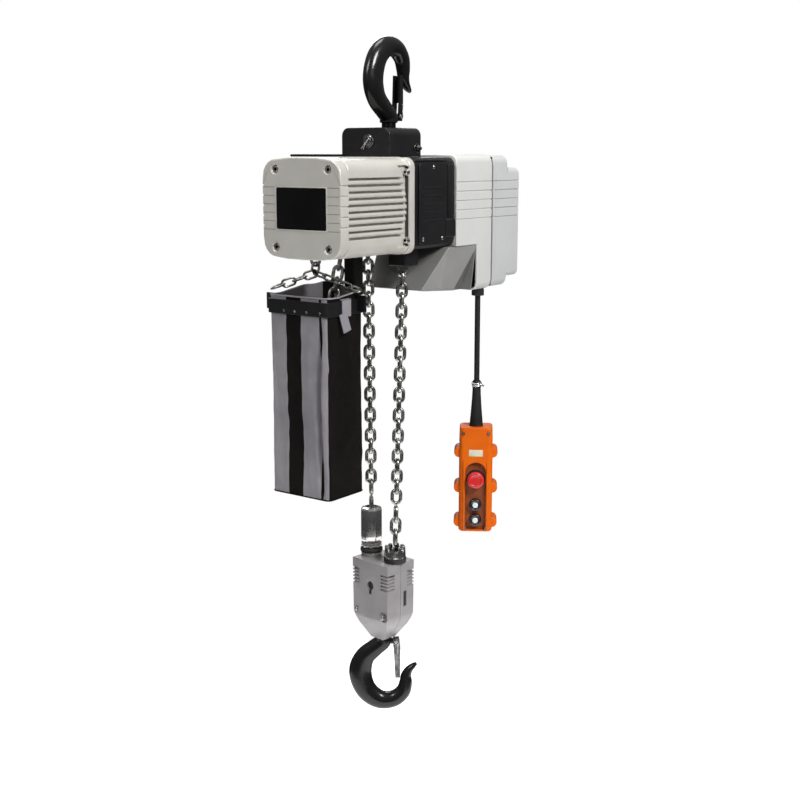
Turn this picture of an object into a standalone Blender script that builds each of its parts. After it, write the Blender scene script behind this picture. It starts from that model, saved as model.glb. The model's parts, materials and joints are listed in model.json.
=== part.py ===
"""Electric chain hoist: two load falls, a fabric chain bag and a push-button pendant.

Metres, +Z up. The origin is the saddle of the top hook, where the hoist hangs.
The long axis of the motor runs along Y: motor cover at -Y, control end at +Y, and +X to the
right as seen from the motor cover.
"""

import math

import bmesh
import bpy
from mathutils import Matrix, Vector

GAP = 0.0003                    # clearance between pieces that touch

# Hooks: both hooks are the same forging, and the top one stands upside down.
HOOK_BOWL = 0.122               # neck end to the inside of the bowl
SHANK_R = 0.0135
# centre line u, v below the neck, depth in the hook's plane, thickness across it
HOOK_STATIONS = [
    (0.000, -0.0005, 0.034, 0.034),
    (-0.001, -0.012, 0.035, 0.034),
    (-0.016, -0.025, 0.038, 0.032),
    (-0.036, -0.043, 0.043, 0.030),
    (-0.047, -0.066, 0.047, 0.030),
    (-0.047, -0.090, 0.047, 0.031),
    (-0.037, -0.116, 0.044, 0.032),
    (-0.020, -0.133, 0.041, 0.033),
    (0.000, -0.1405, 0.037, 0.033),
    (0.024, -0.136, 0.034, 0.032),
    (0.041, -0.120, 0.031, 0.029),
    (0.046, -0.101, 0.027, 0.026),
    (0.047, -0.086, 0.022, 0.023),
    (0.053, -0.073, 0.016, 0.019),
    (0.062, -0.064, 0.011, 0.014),
    (0.068, -0.059, 0.006, 0.008),
]
LATCH_PIVOT = (0.026, -0.010)   # in the hook's plane, from the neck end
LATCH_LENGTH = 0.078
LATCH_TURN = math.radians(2.2)  # how far the closed latch leans outward
LATCH_PIN_R = 0.0025

# Suspension bracket on top of the body
BRACKET_LOW_X, BRACKET_HIGH_X = -0.075, 0.040
BRACKET_HALF_Y = 0.0505
BRACKET_TOP, BRACKET_BOTTOM = -0.132, -0.1861
BRACKET_WALL = 0.007
SUSPENSION_PIN_X, SUSPENSION_PIN_Z = -0.009, -0.157
SUSPENSION_PIN_R = 0.008

# Body: the motor, the sheave and the gears share one axis along Y
AXIS_Z = -0.276
COVER_FRONT, COVER_BACK = -0.258, -0.235
COVER_HALF_X, COVER_HALF_Z = 0.0915, 0.090
SCREW_X, SCREW_Z = 0.061, 0.069
PLATE_HALF_X, PLATE_HALF_Z = 0.0575, 0.0365
MOTOR_HALF_X, MOTOR_HALF_Z = 0.088, 0.087
FIN_PITCH, FIN_GROOVE, FIN_DEPTH = 0.0115, 0.0045, 0.009
FIN_GROOVES = 10
FLANGE_FRONT, FLANGE_BACK = -0.056, -0.0383
STATOR_R, STATOR_BORE = 0.0705, 0.0475
BODY_FRONT, BODY_BACK = -0.038, 0.098
BODY_HALF_X, BODY_TOP, BODY_BOTTOM = 0.086, -0.1865, -0.359
CONTROL_FRONT, CONTROL_BACK = 0.0983, 0.2257
SIDE_X = 0.091
CONTROL_TOP, CONTROL_BOTTOM = -0.182, -0.452
RECESS_BACK, RECESS_TOP = 0.174, -0.3592
REAR_FRONT, REAR_STEP, REAR_BACK = 0.2313, 0.285, 0.330
GROOVE_TOP, GROOVE_PITCH, GROOVE_COUNT = -0.235, 0.018, 5
WALL = 0.006

# Load chain 7.1 x 21, on five-pocket wheels
CHAIN_WIRE, CHAIN_PITCH, CHAIN_WIDTH = 0.0071, 0.021, 0.024
WHEEL_R = 0.034
LEFT_FALL_TOP = Vector((-0.052, 0.0, -0.3595))
RIGHT_FALL_TOP = Vector((WHEEL_R, 0.0, -0.3595))
GUIDE_BOTTOM = -0.392
FALL_SPLIT = -0.872             # above it the chain is taken up, below it the chain rides the block

# Hook block, turned a little about Z
BLOCK = Vector((-0.016, 0.0, -0.991))
BLOCK_TURN = math.radians(-8.0)
BLOCK_HALF_X, BLOCK_HALF_Y, BLOCK_HEIGHT = 0.051, 0.038, 0.169
BLOCK_WHEEL_Z = -0.058
BLOCK_BOLT_Z = -0.108
STOP_LINK_Z = 0.1085            # the link that comes out of the limit stop
HOOK_TURN = math.radians(36.0)

# Chain bag
BAG = Vector((-0.074, -0.133, -0.385))          # its hanging point
BAG_HALF_X, BAG_HALF_Y = 0.076, 0.057
FRAME_TOP, FRAME_BOTTOM = -0.450, -0.477
BAG_RIM, BAG_BOTTOM = -0.441, -0.830
BAG_WALL = 0.003
EAR_Y, EAR_HEIGHT = 0.032, 0.008                # hanging ears at opposite ends of the frame

# Pendant on its cable
CABLE = Vector((0.068, 0.213, -0.458))          # where the cable swings
CABLE_R = 0.00575
BOOT_TOP, PENDANT_TOP, PENDANT_BOTTOM = -0.654, -0.740, -0.964
PENDANT_TURN = math.radians(33.0)
PENDANT_HALF_X, PENDANT_HALF_Y = 0.035, 0.029
PANEL_FRONT, PANEL_BACK = -0.0212, -0.0172

# Gears: two equal pairs in line
GEAR_MODULE, PINION_TEETH, WHEEL_TEETH = 0.002, 12, 36
GEAR_CENTRES = GEAR_MODULE * (PINION_TEETH + WHEEL_TEETH) / 2
LAY_DIRECTION = math.radians(135.0)             # of the layshaft from the motor axis, in XZ


# ---------------------------------------------------------------- tools

def clear_scene():
    for item in list(bpy.data.objects):
        bpy.data.objects.remove(item)


def make_material(name, colour, roughness, metallic=0.0):
    made = bpy.data.materials.new(name)
    made.use_nodes = True
    shader = made.node_tree.nodes["Principled BSDF"]
    shader.inputs["Base Color"].default_value = (*colour, 1.0)
    shader.inputs["Roughness"].default_value = roughness
    shader.inputs["Metallic"].default_value = metallic
    return made


def add_empty(name, location=(0, 0, 0), turn=0.0, parent=None):
    empty = bpy.data.objects.new(name, None)
    bpy.context.scene.collection.objects.link(empty)
    empty.parent = parent
    empty.location = location
    empty.rotation_euler = (0, 0, turn)
    return empty


def finish_mesh(name, shape, material, parent=None, angle=35.0):
    """Turns a bmesh into a named object with its faces pointing out."""
    bmesh.ops.recalc_face_normals(shape, faces=shape.faces)
    mesh = bpy.data.meshes.new(name)
    shape.to_mesh(mesh)
    shape.free()
    mesh.shade_smooth()
    mesh.set_sharp_from_angle(angle=math.radians(angle))
    mesh.materials.append(material)
    made = bpy.data.objects.new(name, mesh)
    bpy.context.scene.collection.objects.link(made)
    made.parent = parent
    return made


def helper(made):
    """Marks a cutter or a shape that is only joined to another."""
    made.hide_render = True
    made.display_type = "WIRE"
    return made


def boolean(target, other, operation):
    step = target.modifiers.new(operation.lower(), "BOOLEAN")
    step.operation = operation
    step.solver = "EXACT"
    step.object = helper(other)
    return target


def cut(target, *cutters):
    for cutter in cutters:
        boolean(target, cutter, "DIFFERENCE")
    return target


def unite(target, *others):
    for other in others:
        boolean(target, other, "UNION")
    return target


def ring_loft(shape, rings, closed=False):
    """Skins rings of points; the ends are capped unless the rings close on themselves."""
    levels = [[shape.verts.new(point) for point in ring] for ring in rings]
    count = len(levels[0])
    pairs = list(zip(levels, levels[1:]))
    if closed:
        pairs.append((levels[-1], levels[0]))
    for low, high in pairs:
        for i in range(count):
            j = (i + 1) % count
            shape.faces.new((low[i], low[j], high[j], high[i]))
    if not closed:
        shape.faces.new(levels[0])
        shape.faces.new(levels[-1])


def on_axis(axis, a, b, along):
    """A point of a flat outline (a, b) carried to a place along an axis."""
    if axis == "x":
        return (along, a, b)
    if axis == "y":
        return (a, along, b)
    return (a, b, along)


def prism(name, outline, axis, low, high, material, parent=None, angle=35.0):
    shape = bmesh.new()
    rings = [[on_axis(axis, a, b, along) for a, b in outline] for along in (low, high)]
    ring_loft(shape, rings)
    return finish_mesh(name, shape, material, parent, angle)


def add_box(shape, low, high):
    outline = [(low[0], low[1]), (high[0], low[1]), (high[0], high[1]), (low[0], high[1])]
    ring_loft(shape, [[(x, y, z) for x, y in outline] for z in (low[2], high[2])])


def boxes(name, corners, material, parent=None, bevel=0.0):
    """One object of one or more boxes, each given by its low and high corner."""
    shape = bmesh.new()
    for low, high in corners:
        add_box(shape, low, high)
    if bevel:
        bmesh.ops.bevel(shape, geom=shape.edges[:], offset=bevel, segments=1, affect="EDGES")
    return finish_mesh(name, shape, material, parent)


def rounded_outline(half_a, half_b, radius, steps=4, centre=(0.0, 0.0)):
    points = []
    for corner, (side_a, side_b) in enumerate(((1, 1), (-1, 1), (-1, -1), (1, -1))):
        for step in range(steps + 1):
            angle = math.pi / 2 * (corner + step / steps)
            points.append((
                centre[0] + side_a * (half_a - radius) + radius * math.cos(angle),
                centre[1] + side_b * (half_b - radius) + radius * math.sin(angle),
            ))
    return points


def circle(radius, count, centre=(0.0, 0.0), start=0.0):
    return [
        (centre[0] + radius * math.cos(start + 2 * math.pi * i / count),
         centre[1] + radius * math.sin(start + 2 * math.pi * i / count))
        for i in range(count)
    ]


def rod(name, axis, centre, radius, low, high, material, parent=None, count=12):
    return prism(name, circle(radius, count, centre), axis, low, high, material, parent)


def turned(name, profile, axis, centre, material, parent=None, count=16, ring=False):
    """A turned piece. profile holds (radius, place along the axis); ring=True closes it as a ring."""
    shape = bmesh.new()
    rings = [
        [on_axis(axis, a, b, along) for a, b in circle(radius, count, centre)]
        for radius, along in profile
    ]
    ring_loft(shape, rings, closed=ring)
    return finish_mesh(name, shape, material, parent)


def collar(name, inner, outer, axis, centre, low, high, material, parent=None, count=16):
    profile = [(inner, low), (outer, low), (outer, high), (inner, high)]
    return turned(name, profile, axis, centre, material, parent, count, ring=True)


def smooth_rows(rows, steps):
    """Rows of numbers, with points added between them on a Catmull-Rom curve."""
    result = []
    for i in range(len(rows) - 1):
        before = rows[max(i - 1, 0)]
        after = rows[min(i + 2, len(rows) - 1)]
        for step in range(steps):
            t = step / steps
            result.append(tuple(
                0.5 * (2 * b + (c - a) * t + (2 * a - 5 * b + 4 * c - d) * t * t
                       + (3 * b - a - 3 * c + d) * t ** 3)
                for a, b, c, d in zip(before, rows[i], rows[i + 1], after)
            ))
    result.append(tuple(rows[-1]))
    return result


# ---------------------------------------------------------------- hooks

def hook_rings(stations, sides=8):
    """Oval sections along the hook's centre line, in the plane X-Z."""
    rings = []
    last = len(stations) - 1
    for i, (u, v, depth, thickness) in enumerate(stations):
        ahead = stations[min(i + 1, last)]
        behind = stations[max(i - 1, 0)]
        run = Vector((ahead[0] - behind[0], 0, ahead[1] - behind[1])).normalized()
        if i == 0:
            run = Vector((0, 0, -1))
        across = Vector((-run.z, 0, run.x))
        ring = []
        for k in range(sides):
            angle = 2 * math.pi * k / sides
            point = Vector((u, 0, v)) + across * (depth / 2 * math.cos(angle))
            point.y = thickness / 2 * math.sin(angle)
            ring.append(point)
        rings.append(ring)
    return rings


def make_hook(name, shank_length, material, parent):
    """A hook hanging from z = 0 in the plane X-Z, with its shank above and a lug for the latch."""
    shape = bmesh.new()
    ring_loft(shape, hook_rings(smooth_rows(HOOK_STATIONS, 2)))
    hook = finish_mesh(name, shape, material, parent, 50.0)
    shank = rod(name + "_shank", "z", (0, 0), SHANK_R, -0.006, shank_length, material, parent)
    lug = rod(name + "_lug", "y", LATCH_PIVOT, 0.0075, -0.005, 0.005, material, parent, 12)
    web = boxes(name + "_web", [((0.006, -0.0048, -0.015), (0.024, 0.0048, -0.004))],
                material, parent)
    bore = rod(name + "_bore", "y", LATCH_PIVOT, LATCH_PIN_R + GAP, -0.02, 0.02, material, parent)
    return cut(unite(hook, shank, web, lug), bore)


def make_latch(name, material, parent):
    """A pressed latch on the hook's lug. Its own origin is on the pin."""
    pivot = add_empty(name + "_pivot", (LATCH_PIVOT[0], 0, LATCH_PIVOT[1]), 0.0, parent)
    pivot.rotation_euler = (0, -LATCH_TURN, 0)
    outer = [(-0.006, 0.007), (0.006, 0.007), (0.008, -0.020), (0.0055, -LATCH_LENGTH),
             (-0.0045, -LATCH_LENGTH), (-0.005, -0.020)]
    latch = prism(name, outer, "y", -0.009, 0.009, material, pivot)
    slot = boxes(name + "_slot", [((-0.012, -0.0056, -0.027), (0.012, 0.0056, 0.012))],
                 material, pivot)
    trough = boxes(name + "_trough", [((-0.012, -0.0062, -0.095), (0.003, 0.0062, -0.024))],
                   material, pivot)
    bore = rod(name + "_bore", "y", (0, 0), LATCH_PIN_R + GAP, -0.02, 0.02, material, pivot)
    return cut(latch, slot, trough, bore)


def make_latch_pin(name, material, parent):
    return rod(name, "y", LATCH_PIVOT, LATCH_PIN_R, -0.0115, 0.0115, material, parent)


def top_hook_group(paint, steel):
    """The top hook points up: its plane is Y-Z, with the latch at +Y."""
    frame = add_empty("top_hook_frame", (0, 0, -HOOK_BOWL), math.radians(90))
    frame.rotation_euler = (math.pi, 0, math.radians(90))
    make_hook("top_hook", 0.043, paint["hook"], frame)
    make_latch("top_hook_latch", paint["latch"], frame)
    make_latch_pin("top_latch_pin", steel, frame)
    nut_low, nut_high = -0.1605, -0.1462
    collar("top_hook_nut", SHANK_R + GAP, 0.0185, "z", (0, 0), nut_low, nut_high, steel, None, 12)


# ---------------------------------------------------------------- suspension

def suspension_group(paint, steel):
    middle = (BRACKET_LOW_X + BRACKET_HIGH_X) / 2
    half = (BRACKET_HIGH_X - BRACKET_LOW_X) / 2
    corner = 0.015
    outline = [(BRACKET_LOW_X, BRACKET_BOTTOM), (BRACKET_HIGH_X, BRACKET_BOTTOM)]
    for side in (1, -1):
        for step in range(5):
            angle = math.pi / 2 * (step / 4 if side == 1 else 1 + step / 4)
            outline.append((middle + side * (half - corner) + corner * math.cos(angle),
                            BRACKET_TOP - corner + corner * math.sin(angle)))
    bracket = prism("suspension_bracket", outline, "y", -BRACKET_HALF_Y, BRACKET_HALF_Y,
                    paint["black"])
    inside_y = BRACKET_HALF_Y - BRACKET_WALL
    hollow = boxes("bracket_hollow", [(
        (BRACKET_LOW_X + BRACKET_WALL, -inside_y, BRACKET_BOTTOM - 0.01),
        (BRACKET_HIGH_X - BRACKET_WALL, inside_y, BRACKET_TOP - BRACKET_WALL),
    )], paint["black"])
    shank_hole = rod("bracket_shank_hole", "z", (0, 0), SHANK_R + 0.0015, -0.2, -0.1,
                     paint["black"])
    pin_centre = (SUSPENSION_PIN_X, SUSPENSION_PIN_Z)
    pin_hole = rod("bracket_pin_hole", "y", pin_centre, SUSPENSION_PIN_R + GAP, -0.08, 0.08,
                   paint["black"])
    cut(bracket, hollow, shank_hole, pin_hole)
    collar("thrust_bearing", SHANK_R + 0.0013, 0.0205, "z", (0, 0),
           -0.1459, BRACKET_TOP - BRACKET_WALL - GAP, steel)
    for name, side in (("suspension_pin_front", -1), ("suspension_pin_rear", 1)):
        profile = [(SUSPENSION_PIN_R, 0.0245), (SUSPENSION_PIN_R, 0.0508), (0.013, 0.0508),
                   (0.013, 0.0538), (0.0075, 0.0538), (0.0075, 0.0570)]
        profile = [(radius, side * along) for radius, along in profile]
        turned(name, profile, "y", pin_centre, steel, None, 12)
    boxes("torque_arm", [((-0.186, -0.074, -0.1862), (-0.0755, -0.046, -0.1812))],
          paint["black"], None, 0.001)


# ---------------------------------------------------------------- motor

def bulged_outline(half_a, half_b, radius, bulge, groove_depth):
    """A rounded rectangle whose four sides bulge, with five grooves in the left and right sides."""
    points = []
    plain = rounded_outline(half_a, half_b, radius, 5)
    per_corner = 6
    for corner in range(4):
        points += plain[corner * per_corner:(corner + 1) * per_corner]
        if corner == 0:
            points += [(half_a * t, half_b + bulge * (1 - t * t)) for t in (0.4, 0.0, -0.4)]
        if corner == 1:
            points += side_grooves(-half_a, 1, groove_depth)
        if corner == 2:
            points += [(half_a * t, -half_b - bulge * (1 - t * t)) for t in (-0.4, 0.0, 0.4)]
        if corner == 3:
            points += side_grooves(half_a, -1, groove_depth)
    return points


def side_grooves(edge, order, depth):
    """Grooves along a side at the same heights as those of the covers, listed downward or upward."""
    inward = -math.copysign(depth, edge)
    rows = []
    for i in range(GROOVE_COUNT):
        height = GROOVE_TOP - AXIS_Z - i * GROOVE_PITCH
        rows.append([(edge, height + 0.0015), (edge + inward, height + 0.0008),
                     (edge + inward, height - 0.0008), (edge, height - 0.0015)])
    points = [point for row in rows for point in row]
    return points if order == 1 else points[::-1]


def shift_outline(outline, down):
    return [(a, b + down) for a, b in outline]


def screw_centres():
    return [(sx * SCREW_X, AXIS_Z + sz * SCREW_Z) for sx in (-1, 1) for sz in (1, -1)]


def motor_group(paint, steel):
    outline = shift_outline(bulged_outline(COVER_HALF_X - 0.001, COVER_HALF_Z - 0.003, 0.030,
                                           0.003, 0.0022), AXIS_Z)
    cover = prism("motor_front_cover", outline, "y", COVER_FRONT, COVER_BACK, paint["silver"])
    inside = shift_outline(rounded_outline(0.082, 0.080, 0.026), AXIS_Z)
    hollow = prism("cover_hollow", inside, "y", COVER_FRONT + 0.010, COVER_BACK + 0.01,
                   paint["silver"])
    for i, centre in enumerate(screw_centres()):
        boss = rod(f"cover_boss_{i}", "y", centre, 0.0095, COVER_FRONT + 0.004,
                   COVER_BACK - 0.0001, paint["silver"], None, 12)
        if i == 0:
            bosses = boss
        else:
            unite(bosses, boss)
    plate = shift_outline(rounded_outline(PLATE_HALF_X + GAP, PLATE_HALF_Z + GAP, 0.003, 2), AXIS_Z)
    recess = prism("plate_recess", plate, "y", COVER_FRONT - 0.01, COVER_FRONT + 0.0015,
                   paint["silver"])
    seats = bmesh.new()
    for centre in screw_centres():
        rings = [[on_axis("y", a, b, along) for a, b in circle(radius, 10, centre)]
                 for radius, along in ((0.0072, COVER_FRONT - 0.01), (0.0072, COVER_FRONT + 0.008),
                                       (0.0034, COVER_FRONT + 0.008), (0.0034, COVER_BACK + 0.016))]
        ring_loft(seats, rings)
    seats = finish_mesh("screw_seats", seats, paint["silver"])
    cut(cover, hollow)
    unite(cover, bosses)
    cut(cover, recess, seats)
    plate = shift_outline(rounded_outline(PLATE_HALF_X, PLATE_HALF_Z, 0.003, 2), AXIS_Z)
    prism("nameplate", plate, "y", COVER_FRONT - 0.0003, COVER_FRONT + 0.0012, paint["plate"])
    for i, centre in enumerate(screw_centres()):
        profile = [(0.0028, COVER_BACK + 0.010), (0.0028, COVER_FRONT + 0.0077),
                   (0.0052, COVER_FRONT + 0.0077), (0.0052, COVER_FRONT + 0.0022),
                   (0.0027, COVER_FRONT + 0.0022), (0.0027, COVER_FRONT + 0.0050)]
        turned(f"cover_screw_{i + 1}", profile, "y", centre, steel, None, 8)

    outline = shift_outline(finned_outline(), AXIS_Z)
    housing = prism("motor_housing", outline, "y", COVER_BACK + GAP, FLANGE_BACK - 0.006,
                    paint["silver"])
    flange = prism("motor_flange",
                   shift_outline(rounded_outline(0.0905, 0.0893, 0.018), AXIS_Z),
                   "y", FLANGE_FRONT, FLANGE_BACK, paint["silver"])
    bore = rod("motor_bore", "y", (0, AXIS_Z), STATOR_R, COVER_BACK - 0.01, -0.062,
               paint["silver"], None, 20)
    shaft_hole = rod("motor_shaft_hole", "y", (0, AXIS_Z), 0.010, -0.08, 0.0, paint["silver"])
    scallop = [(FLANGE_FRONT, MOTOR_HALF_Z - 0.012), (FLANGE_FRONT, -MOTOR_HALF_Z + 0.012)]
    for step in range(9):
        t = step / 4 - 1
        scallop.append((FLANGE_FRONT - 0.004 - 0.026 * t * t, t * (MOTOR_HALF_Z - 0.012)))
    scallop = [(y, z + AXIS_Z) for y, z in scallop]
    reliefs = [prism(f"fin_relief_{side}", scallop, "x", *ends, paint["silver"])
               for side, ends in (("right", (0.0795, 0.12)), ("left", (-0.12, -0.0795)))]
    threads = bmesh.new()
    for centre in screw_centres():
        rings = [[on_axis("y", a, b, along) for a, b in circle(0.0032, 8, centre)]
                 for along in (COVER_BACK - 0.01, COVER_BACK + 0.013)]
        ring_loft(threads, rings)
    threads = finish_mesh("screw_threads", threads, paint["silver"])
    cut(housing, *reliefs)
    unite(housing, flange)
    cut(housing, bore, shaft_hole, threads)

    collar("stator", STATOR_BORE, STATOR_R - GAP, "y", (0, AXIS_Z), -0.205, -0.100,
           paint["iron"], None, 20)
    profile = [(0.0065, -0.224), (0.0065, -0.205), (0.0465, -0.205), (0.0465, -0.100),
               (0.0065, -0.100), (0.0065, 0.172)]
    frame = add_empty("rotor_frame", (0, 0, AXIS_Z))
    turned("rotor", profile, "y", (0, 0), paint["iron"], frame, 16)


def finned_outline():
    """The motor's finned section: grooves in both sides, smooth ridges at the top and bottom."""
    points = []
    plain = rounded_outline(MOTOR_HALF_X, MOTOR_HALF_Z, 0.022, 4)
    per_corner = 5
    for corner in range(4):
        points += plain[corner * per_corner:(corner + 1) * per_corner]
        if corner == 1:
            points += fin_grooves(-MOTOR_HALF_X, 1)
        if corner == 3:
            points += fin_grooves(MOTOR_HALF_X, -1)
    return points


def fin_grooves(edge, order):
    inward = -math.copysign(FIN_DEPTH, edge)
    points = []
    for i in range(FIN_GROOVES):
        height = (FIN_GROOVES / 2 - 0.5 - i) * FIN_PITCH
        half = FIN_GROOVE / 2
        points += [(edge, height + half), (edge + inward, height + half - 0.0006),
                   (edge + inward, height - half + 0.0006), (edge, height - half)]
    return points if order == 1 else points[::-1]


# ---------------------------------------------------------------- lifting body and its wheels

def lifting_body(paint):
    middle_z = (BODY_TOP + BODY_BOTTOM) / 2
    half_z = (BODY_TOP - BODY_BOTTOM) / 2
    outline = rounded_outline(BODY_HALF_X, half_z, 0.016, 3, (0, middle_z))
    body = prism("lifting_body", outline, "y", BODY_FRONT, BODY_BACK, paint["black"])
    hollow = boxes("body_hollow", [((-0.078, -0.030, BODY_BOTTOM + 0.008),
                                    (0.078, 0.090, BODY_TOP - 0.008))], paint["black"])
    lugs = []
    for name, low_y in (("body_lug_front", -0.0375), ("body_lug_rear", 0.0265)):
        outline = [(SUSPENSION_PIN_X + 0.018 * a, b) for a, b in
                   ((-1.4, BODY_TOP - 0.004), (1.4, BODY_TOP - 0.004), (0.9, SUSPENSION_PIN_Z),
                    (0.5, SUSPENSION_PIN_Z + 0.0135), (-0.5, SUSPENSION_PIN_Z + 0.0135),
                    (-0.9, SUSPENSION_PIN_Z))]
        lugs.append(prism(name, outline, "y", low_y, low_y + 0.011, paint["black"]))
    pin_hole = rod("lug_pin_hole", "y", (SUSPENSION_PIN_X, SUSPENSION_PIN_Z),
                   SUSPENSION_PIN_R + GAP, -0.08, 0.08, paint["black"])
    shaft_hole = rod("body_shaft_hole", "y", (0, AXIS_Z), 0.0175, -0.05, 0.11, paint["black"])
    chain_holes = boxes("body_chain_holes", [
        ((x - 0.015, -0.015, BODY_BOTTOM - 0.01), (x + 0.015, 0.015, BODY_BOTTOM + 0.012))
        for x in (LEFT_FALL_TOP.x, RIGHT_FALL_TOP.x)
    ], paint["black"])
    side_lug = boxes("body_side_lug", [((0.070, 0.066, -0.339), (0.0905, 0.0978, -0.304))],
                     paint["black"], None, 0.002)
    cut(body, hollow)
    unite(body, *lugs, side_lug)
    cut(body, pin_hole, shaft_hole, chain_holes)

    for name, side in (("side_panel_right", 1), ("side_panel_left", -1)):
        face, back = side * 0.0893, side * (BODY_HALF_X + GAP)
        panel = prism(name, rounded_outline(0.044, 0.076, 0.008, 2, (0.020, middle_z)), "x",
                      min(face, back), max(face, back), paint["black"])
        ribs = [((min(side * 0.088, side * 0.0907), -0.012, z - 0.0018),
                 (max(side * 0.088, side * 0.0907), 0.050, z + 0.0018))
                for z in (middle_z + 0.030 - 0.0155 * i for i in range(5))]
        for i, rib in enumerate(ribs):
            unite(panel, boxes(f"{name}_rib_{i}", [rib], paint["black"]))

    guide = boxes("chain_guide", [((0.013, -0.021, GUIDE_BOTTOM), (0.055, 0.021, -0.3593))],
                  paint["black"], None, 0.002)
    passage = boxes("guide_passage", [((0.018, -0.016, GUIDE_BOTTOM - 0.01),
                                       (0.050, 0.016, -0.35))], paint["black"])
    cut(guide, passage)
    chute = boxes("chain_chute", [((-0.062, -0.0625, -0.447), (-0.018, -0.0585, -0.3675))],
                  paint["black"], None, 0.0008)
    side = boxes("chute_side", [((-0.022, -0.085, -0.440), (-0.018, -0.060, -0.3675))],
                 paint["black"])
    unite(chute, side)


def gear_outline(teeth, tooth_angle):
    """A gear's outline with a tooth centred on the given angle."""
    pitch_r = GEAR_MODULE * teeth / 2
    outer = pitch_r + 0.8 * GEAR_MODULE
    root = pitch_r - 1.15 * GEAR_MODULE
    points = []
    for i in range(teeth):
        centre = tooth_angle + 2 * math.pi * i / teeth
        tip = 0.30 * GEAR_MODULE / outer
        foot = 0.95 * GEAR_MODULE / root
        for radius, offset in ((root, -foot), (outer, -tip), (outer, tip), (root, foot)):
            points.append((radius * math.cos(centre + offset), radius * math.sin(centre + offset)))
    return points


def wheels_and_gears(paint, steel):
    """The pocket wheel on its hollow shaft, the layshaft and the clutch pinion."""
    frame = add_empty("load_sheave_frame", (0, 0, AXIS_Z))
    profile = [(0.009, -0.030), (0.016, -0.030), (0.016, -0.014), (0.039, -0.014),
               (0.028, -0.005), (0.028, 0.005), (0.039, 0.014), (0.016, 0.014),
               (0.016, 0.1245), (0.009, 0.1245)]
    sheave = turned("load_sheave", profile, "y", (0, 0), steel, frame, 16, ring=True)
    gear = prism("sheave_gear", gear_outline(WHEEL_TEETH, LAY_DIRECTION), "y", 0.1105, 0.1185,
                 steel, frame, 20.0)
    gear_bore = rod("sheave_gear_bore", "y", (0, 0), 0.0125, 0.10, 0.13, steel, frame, 12)
    unite(sheave, cut(gear, gear_bore))

    lay_x = GEAR_CENTRES * math.cos(LAY_DIRECTION)
    lay_z = GEAR_CENTRES * math.sin(LAY_DIRECTION)
    frame = add_empty("layshaft_frame", (lay_x, 0, AXIS_Z + lay_z))
    back = LAY_DIRECTION + math.pi
    shaft = rod("layshaft", "y", (0, 0), 0.006, 0.1065, 0.1700, steel, frame)
    pinion = prism("lay_pinion", gear_outline(PINION_TEETH, back + math.pi / PINION_TEETH), "y",
                   0.1095, 0.1195, steel, frame, 20.0)
    wheel = prism("lay_wheel", gear_outline(WHEEL_TEETH, back), "y", 0.1410, 0.1480,
                  steel, frame, 20.0)
    unite(shaft, pinion, wheel)
    frame = add_empty("clutch_pinion_frame", (0, 0, AXIS_Z))
    pinion = prism("clutch_pinion", gear_outline(PINION_TEETH,
                                                 LAY_DIRECTION + math.pi / PINION_TEETH),
                   "y", 0.1395, 0.1500, steel, frame, 20.0)
    bore = rod("clutch_pinion_bore", "y", (0, 0), 0.0068, 0.13, 0.16, steel, frame)
    cut(pinion, bore)


# ---------------------------------------------------------------- control end

def groove_cutter(name, low_y, high_y, paint):
    """Five shallow grooves along both sides of a cover."""
    depth = 0.0016
    corners = []
    for side in (-1, 1):
        for i in range(GROOVE_COUNT):
            z = GROOVE_TOP - i * GROOVE_PITCH
            x = sorted((side * (SIDE_X - depth), side * (SIDE_X + 0.01)))
            corners.append(((x[0], low_y, z - 0.0011), (x[1], high_y, z + 0.0011)))
    return boxes(name, corners, paint["silver"])


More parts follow.
